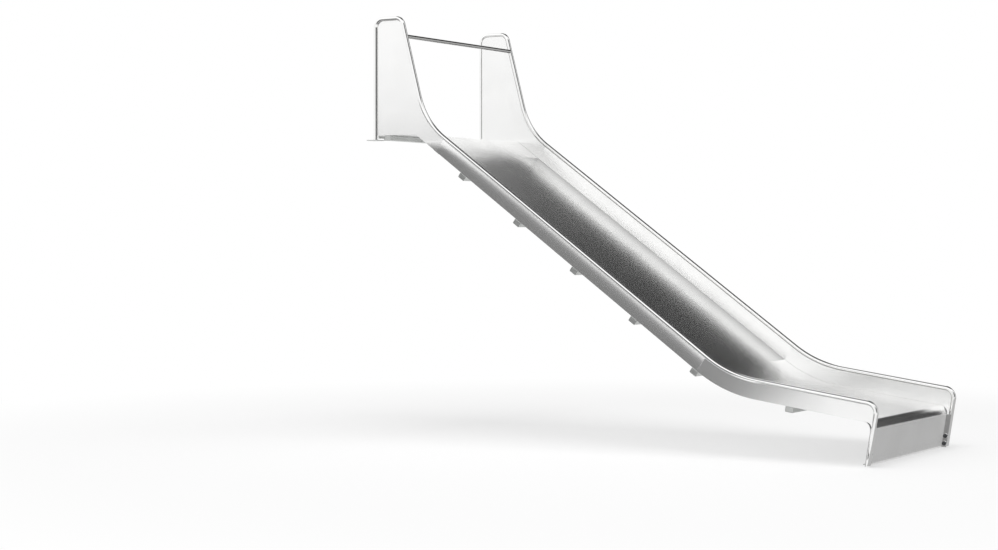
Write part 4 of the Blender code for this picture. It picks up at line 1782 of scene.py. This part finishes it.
@dataclass(frozen=True)
class Flag:
    """A grey card of the studio, which only mirrored light meets.

    Attributes:
        name: The card's name.
        level: Its brightness, where the dome's white is 1.
        corners: Its corners on the rider's left, in order.
        sides: The sides of the slide that it stands on.
    """

    name: str
    level: float
    corners: tuple[tuple[float, float, float], ...]
    sides: tuple[Side, ...] = (Side.LEFT, Side.RIGHT)

    def build(self) -> None:
        """Stands the card on its sides."""
        sketch = MaterialSketch(self.name)
        sketch.show_glow(sketch.glow(self.level))
        for side in self.sides:
            mesh = bpy.data.meshes.new(f"{self.name}_{side.label}")
            points = [(x, side.value * y, z) for x, y, z in self.corners]
            mesh.from_pydata(points, [], [tuple(range(len(points)))])
            mesh.materials.append(sketch.material)
            card = bpy.data.objects.new(mesh.name, mesh)
            bpy.context.scene.collection.objects.link(card)
            card.visible_camera = False
            card.visible_diffuse = False
            card.visible_transmission = False
            card.visible_shadow = False
            LOG.info("%s: studio card", card.name)


@dataclass
class Studio:
    """A pale floor, a white dome with grey zones, grey cards, a softbox and the camera.

    Attributes:
        camera_place: Where the camera stands.
        camera_azimuth: Which way it looks.
        focal_px: Its focal length, in pixels of the photograph.
        image_px: The photograph's width and height.
        principal_px: Where the camera's level axis meets the photograph.
        sensor_mm: The width of its sensor.
        sight: How far it sees.
        floor_size: The floor's width and length.
        floor_x: How far downhill the floor's middle lies.
        floor_level: The floor's brightness.
        floor_roughness: The floor's roughness.
        white_near: The share of plain white in the floor near its middle.
        white_from: How far from the middle the floor starts to turn white.
        white_at: How far from the middle it is all white.
        softbox_place: Where the softbox hangs.
        softbox_aim: The point that it faces.
        softbox_size: Its width and length.
        softbox_watts: Its power.
        zones: The dome's grey zones.
        flags: The grey cards.
    """

    camera_place: tuple[float, float, float] = (9.110, -13.389, -0.751)
    camera_azimuth: float = math.radians(32.546)
    focal_px: float = 1969.57
    image_px: tuple[int, int] = (998, 550)
    principal_px: tuple[float, float] = (499.5, 235.7)
    sensor_mm: float = 36.0
    sight: float = 200.0
    floor_size: float = 60.0
    floor_x: float = 2.0
    floor_level: float = 0.92
    floor_roughness: float = 0.9
    white_near: float = 0.5
    white_from: float = 2.5
    white_at: float = 7.0
    softbox_place: tuple[float, float, float] = (2.5, -1.5, 7.0)
    softbox_aim: tuple[float, float, float] = (2.5, 0.0, -2.0)
    softbox_size: float = 6.0
    softbox_watts: float = 420.0
    zones: tuple[DomeZone, ...] = (
        DomeZone(low=16.0, high=60.0, edge=8.0, level=0.05, azimuth=76.0, half_width=27.0),
        DomeZone(low=-15.0, high=30.0, edge=8.0, level=0.16, azimuth=338.0, half_width=29.0),
        DomeZone(low=68.0, edge=14.0, level=0.10),
        DomeZone(low=20.0, high=46.0, edge=8.0, level=1.20, azimuth=248.0, half_width=42.0),
    )
    flags: tuple[Flag, ...] = (
        Flag(
            "start_flag", 0.20,
            ((-4.0, 0.90, -0.02), (0.30, 0.90, -0.02), (0.30, 4.0, -0.02), (-4.0, 4.0, -0.02)),
        ),
        Flag(
            "slope_flag", 0.20,
            ((0.0, 0.92, -0.07), (2.65, 0.92, -2.08), (2.65, 3.0, -2.08), (0.0, 6.0, -0.07)),
        ),
        Flag(
            "exit_flag", 0.49,
            ((4.00, -1.2, -2.315), (9.0, -1.2, -2.315), (9.0, 6.0, -2.315), (4.00, 6.0, -2.315)),
            sides=(Side.LEFT,),
        ),
        Flag(
            "run_out_flag", 0.08,
            ((2.95, 0.86, -2.15), (3.95, 0.86, -2.28), (3.95, 1.12, -2.28), (2.95, 1.12, -2.15)),
        ),
        Flag(
            "lip_flag", 0.05,
            ((4.3, 2.6, -2.3), (6.6, 2.6, -2.3), (6.6, 2.6, -1.1), (4.3, 2.6, -1.1)),
            sides=(Side.LEFT,),
        ),
    )

    def camera(self) -> None:
        """Stands the camera where the photograph was taken from, level."""
        data = bpy.data.cameras.new("photo_camera")
        data.sensor_width = self.sensor_mm
        data.lens = self.sensor_mm * self.focal_px / self.image_px[0]
        data.shift_x = (self.image_px[0] / 2 - self.principal_px[0]) / self.image_px[0]
        data.shift_y = (self.principal_px[1] - self.image_px[1] / 2) / self.image_px[0]
        data.clip_end = self.sight
        camera = bpy.data.objects.new("photo_camera", data)
        camera.location = self.camera_place
        camera.rotation_euler = (math.pi / 2, 0.0, self.camera_azimuth)
        bpy.context.scene.collection.objects.link(camera)
        bpy.context.scene.camera = camera

    def floor(self) -> None:
        """Lays the pale floor at the exit's ground, white far from the slide."""
        Bench.clear()
        bpy.ops.mesh.primitive_plane_add(
            size=self.floor_size, location=(self.floor_x, 0.0, VIEW.ground_z)
        )
        floor = bpy.context.active_object
        floor.name = "studio_floor"
        sketch = MaterialSketch(floor.name)
        matt = {
            "Base Color": grey(self.floor_level),
            "Roughness": self.floor_roughness,
            "Specular IOR Level": 0.0,
        }
        sketch.feed(sketch.shader, matt)
        reach = sketch.vector("LENGTH", sketch.coordinates("Object"), output="Value")
        share = sketch.smooth_step(reach, self.white_from, self.white_at, to_low=self.white_near)
        share = sketch.math("MULTIPLY", share, sketch.rays("Camera", "Transmission", "Glossy"))
        surfaces = {0: share, 1: sketch.shader.outputs[0], 2: sketch.glow(1.0)}
        sketch.show_glow(sketch.add("ShaderNodeMixShader", surfaces).outputs[0])
        floor.data.materials.append(sketch.material)

    def dome(self) -> None:
        """Lights the studio with a white dome, whose grey zones only mirrored and soft light meet."""
        world = bpy.data.worlds.new("studio_dome")
        world.use_nodes = True
        bpy.context.scene.world = world
        sketch = NodeSketch(world.node_tree)
        x, y, rise = sketch.split(sketch.coordinates("Generated"))
        heading = sketch.vector("NORMALIZE", sketch.join(x, y, 0.0))
        strength = 1.0
        for zone in self.zones:
            strength = sketch.math("MULTIPLY", strength, zone.shade(sketch, heading, rise))
        plain = sketch.rays("Camera", "Transmission")
        zoned = sketch.math("MULTIPLY", strength, sketch.math("SUBTRACT", 1.0, plain))
        background = world.node_tree.nodes["Background"]
        sketch.feed(background, {"Color": grey(1.0), "Strength": sketch.math("ADD", zoned, plain)})

    def softbox(self) -> None:
        """Hangs a softbox overhead that softly shades the floor, and that steel doesn't mirror."""
        data = bpy.data.lights.new("softbox", "AREA")
        data.shape = "SQUARE"
        data.size = self.softbox_size
        data.energy = self.softbox_watts
        lamp = bpy.data.objects.new("softbox", data)
        facing = Vector(self.softbox_aim) - Vector(self.softbox_place)
        lamp.location = self.softbox_place
        lamp.rotation_euler = facing.to_track_quat("-Z", "Y").to_euler()
        lamp.visible_glossy = False
        bpy.context.scene.collection.objects.link(lamp)

    def build(self) -> None:
        """Builds the studio."""
        self.camera()
        self.floor()
        self.dome()
        for flag in self.flags:
            flag.build()
        self.softbox()
        bpy.context.scene.view_settings.view_transform = "Standard"
        LOG.info("studio: floor, dome with %d zones, softbox and camera", len(self.zones))


def main() -> None:
    """Builds the slide's looks around the frame, then the studio."""
    logging.basicConfig(level=logging.INFO, format="%(name)s %(message)s")
    assemblies = (EdgeTubes(), Chute(), SidePanels(), CrossBeams(), ExitApron(), WeldBeads())
    for builder in (*assemblies, HiddenSteel(), Studio()):
        builder.build()
    Bench.clear()


if __name__ == "__main__":
    main()
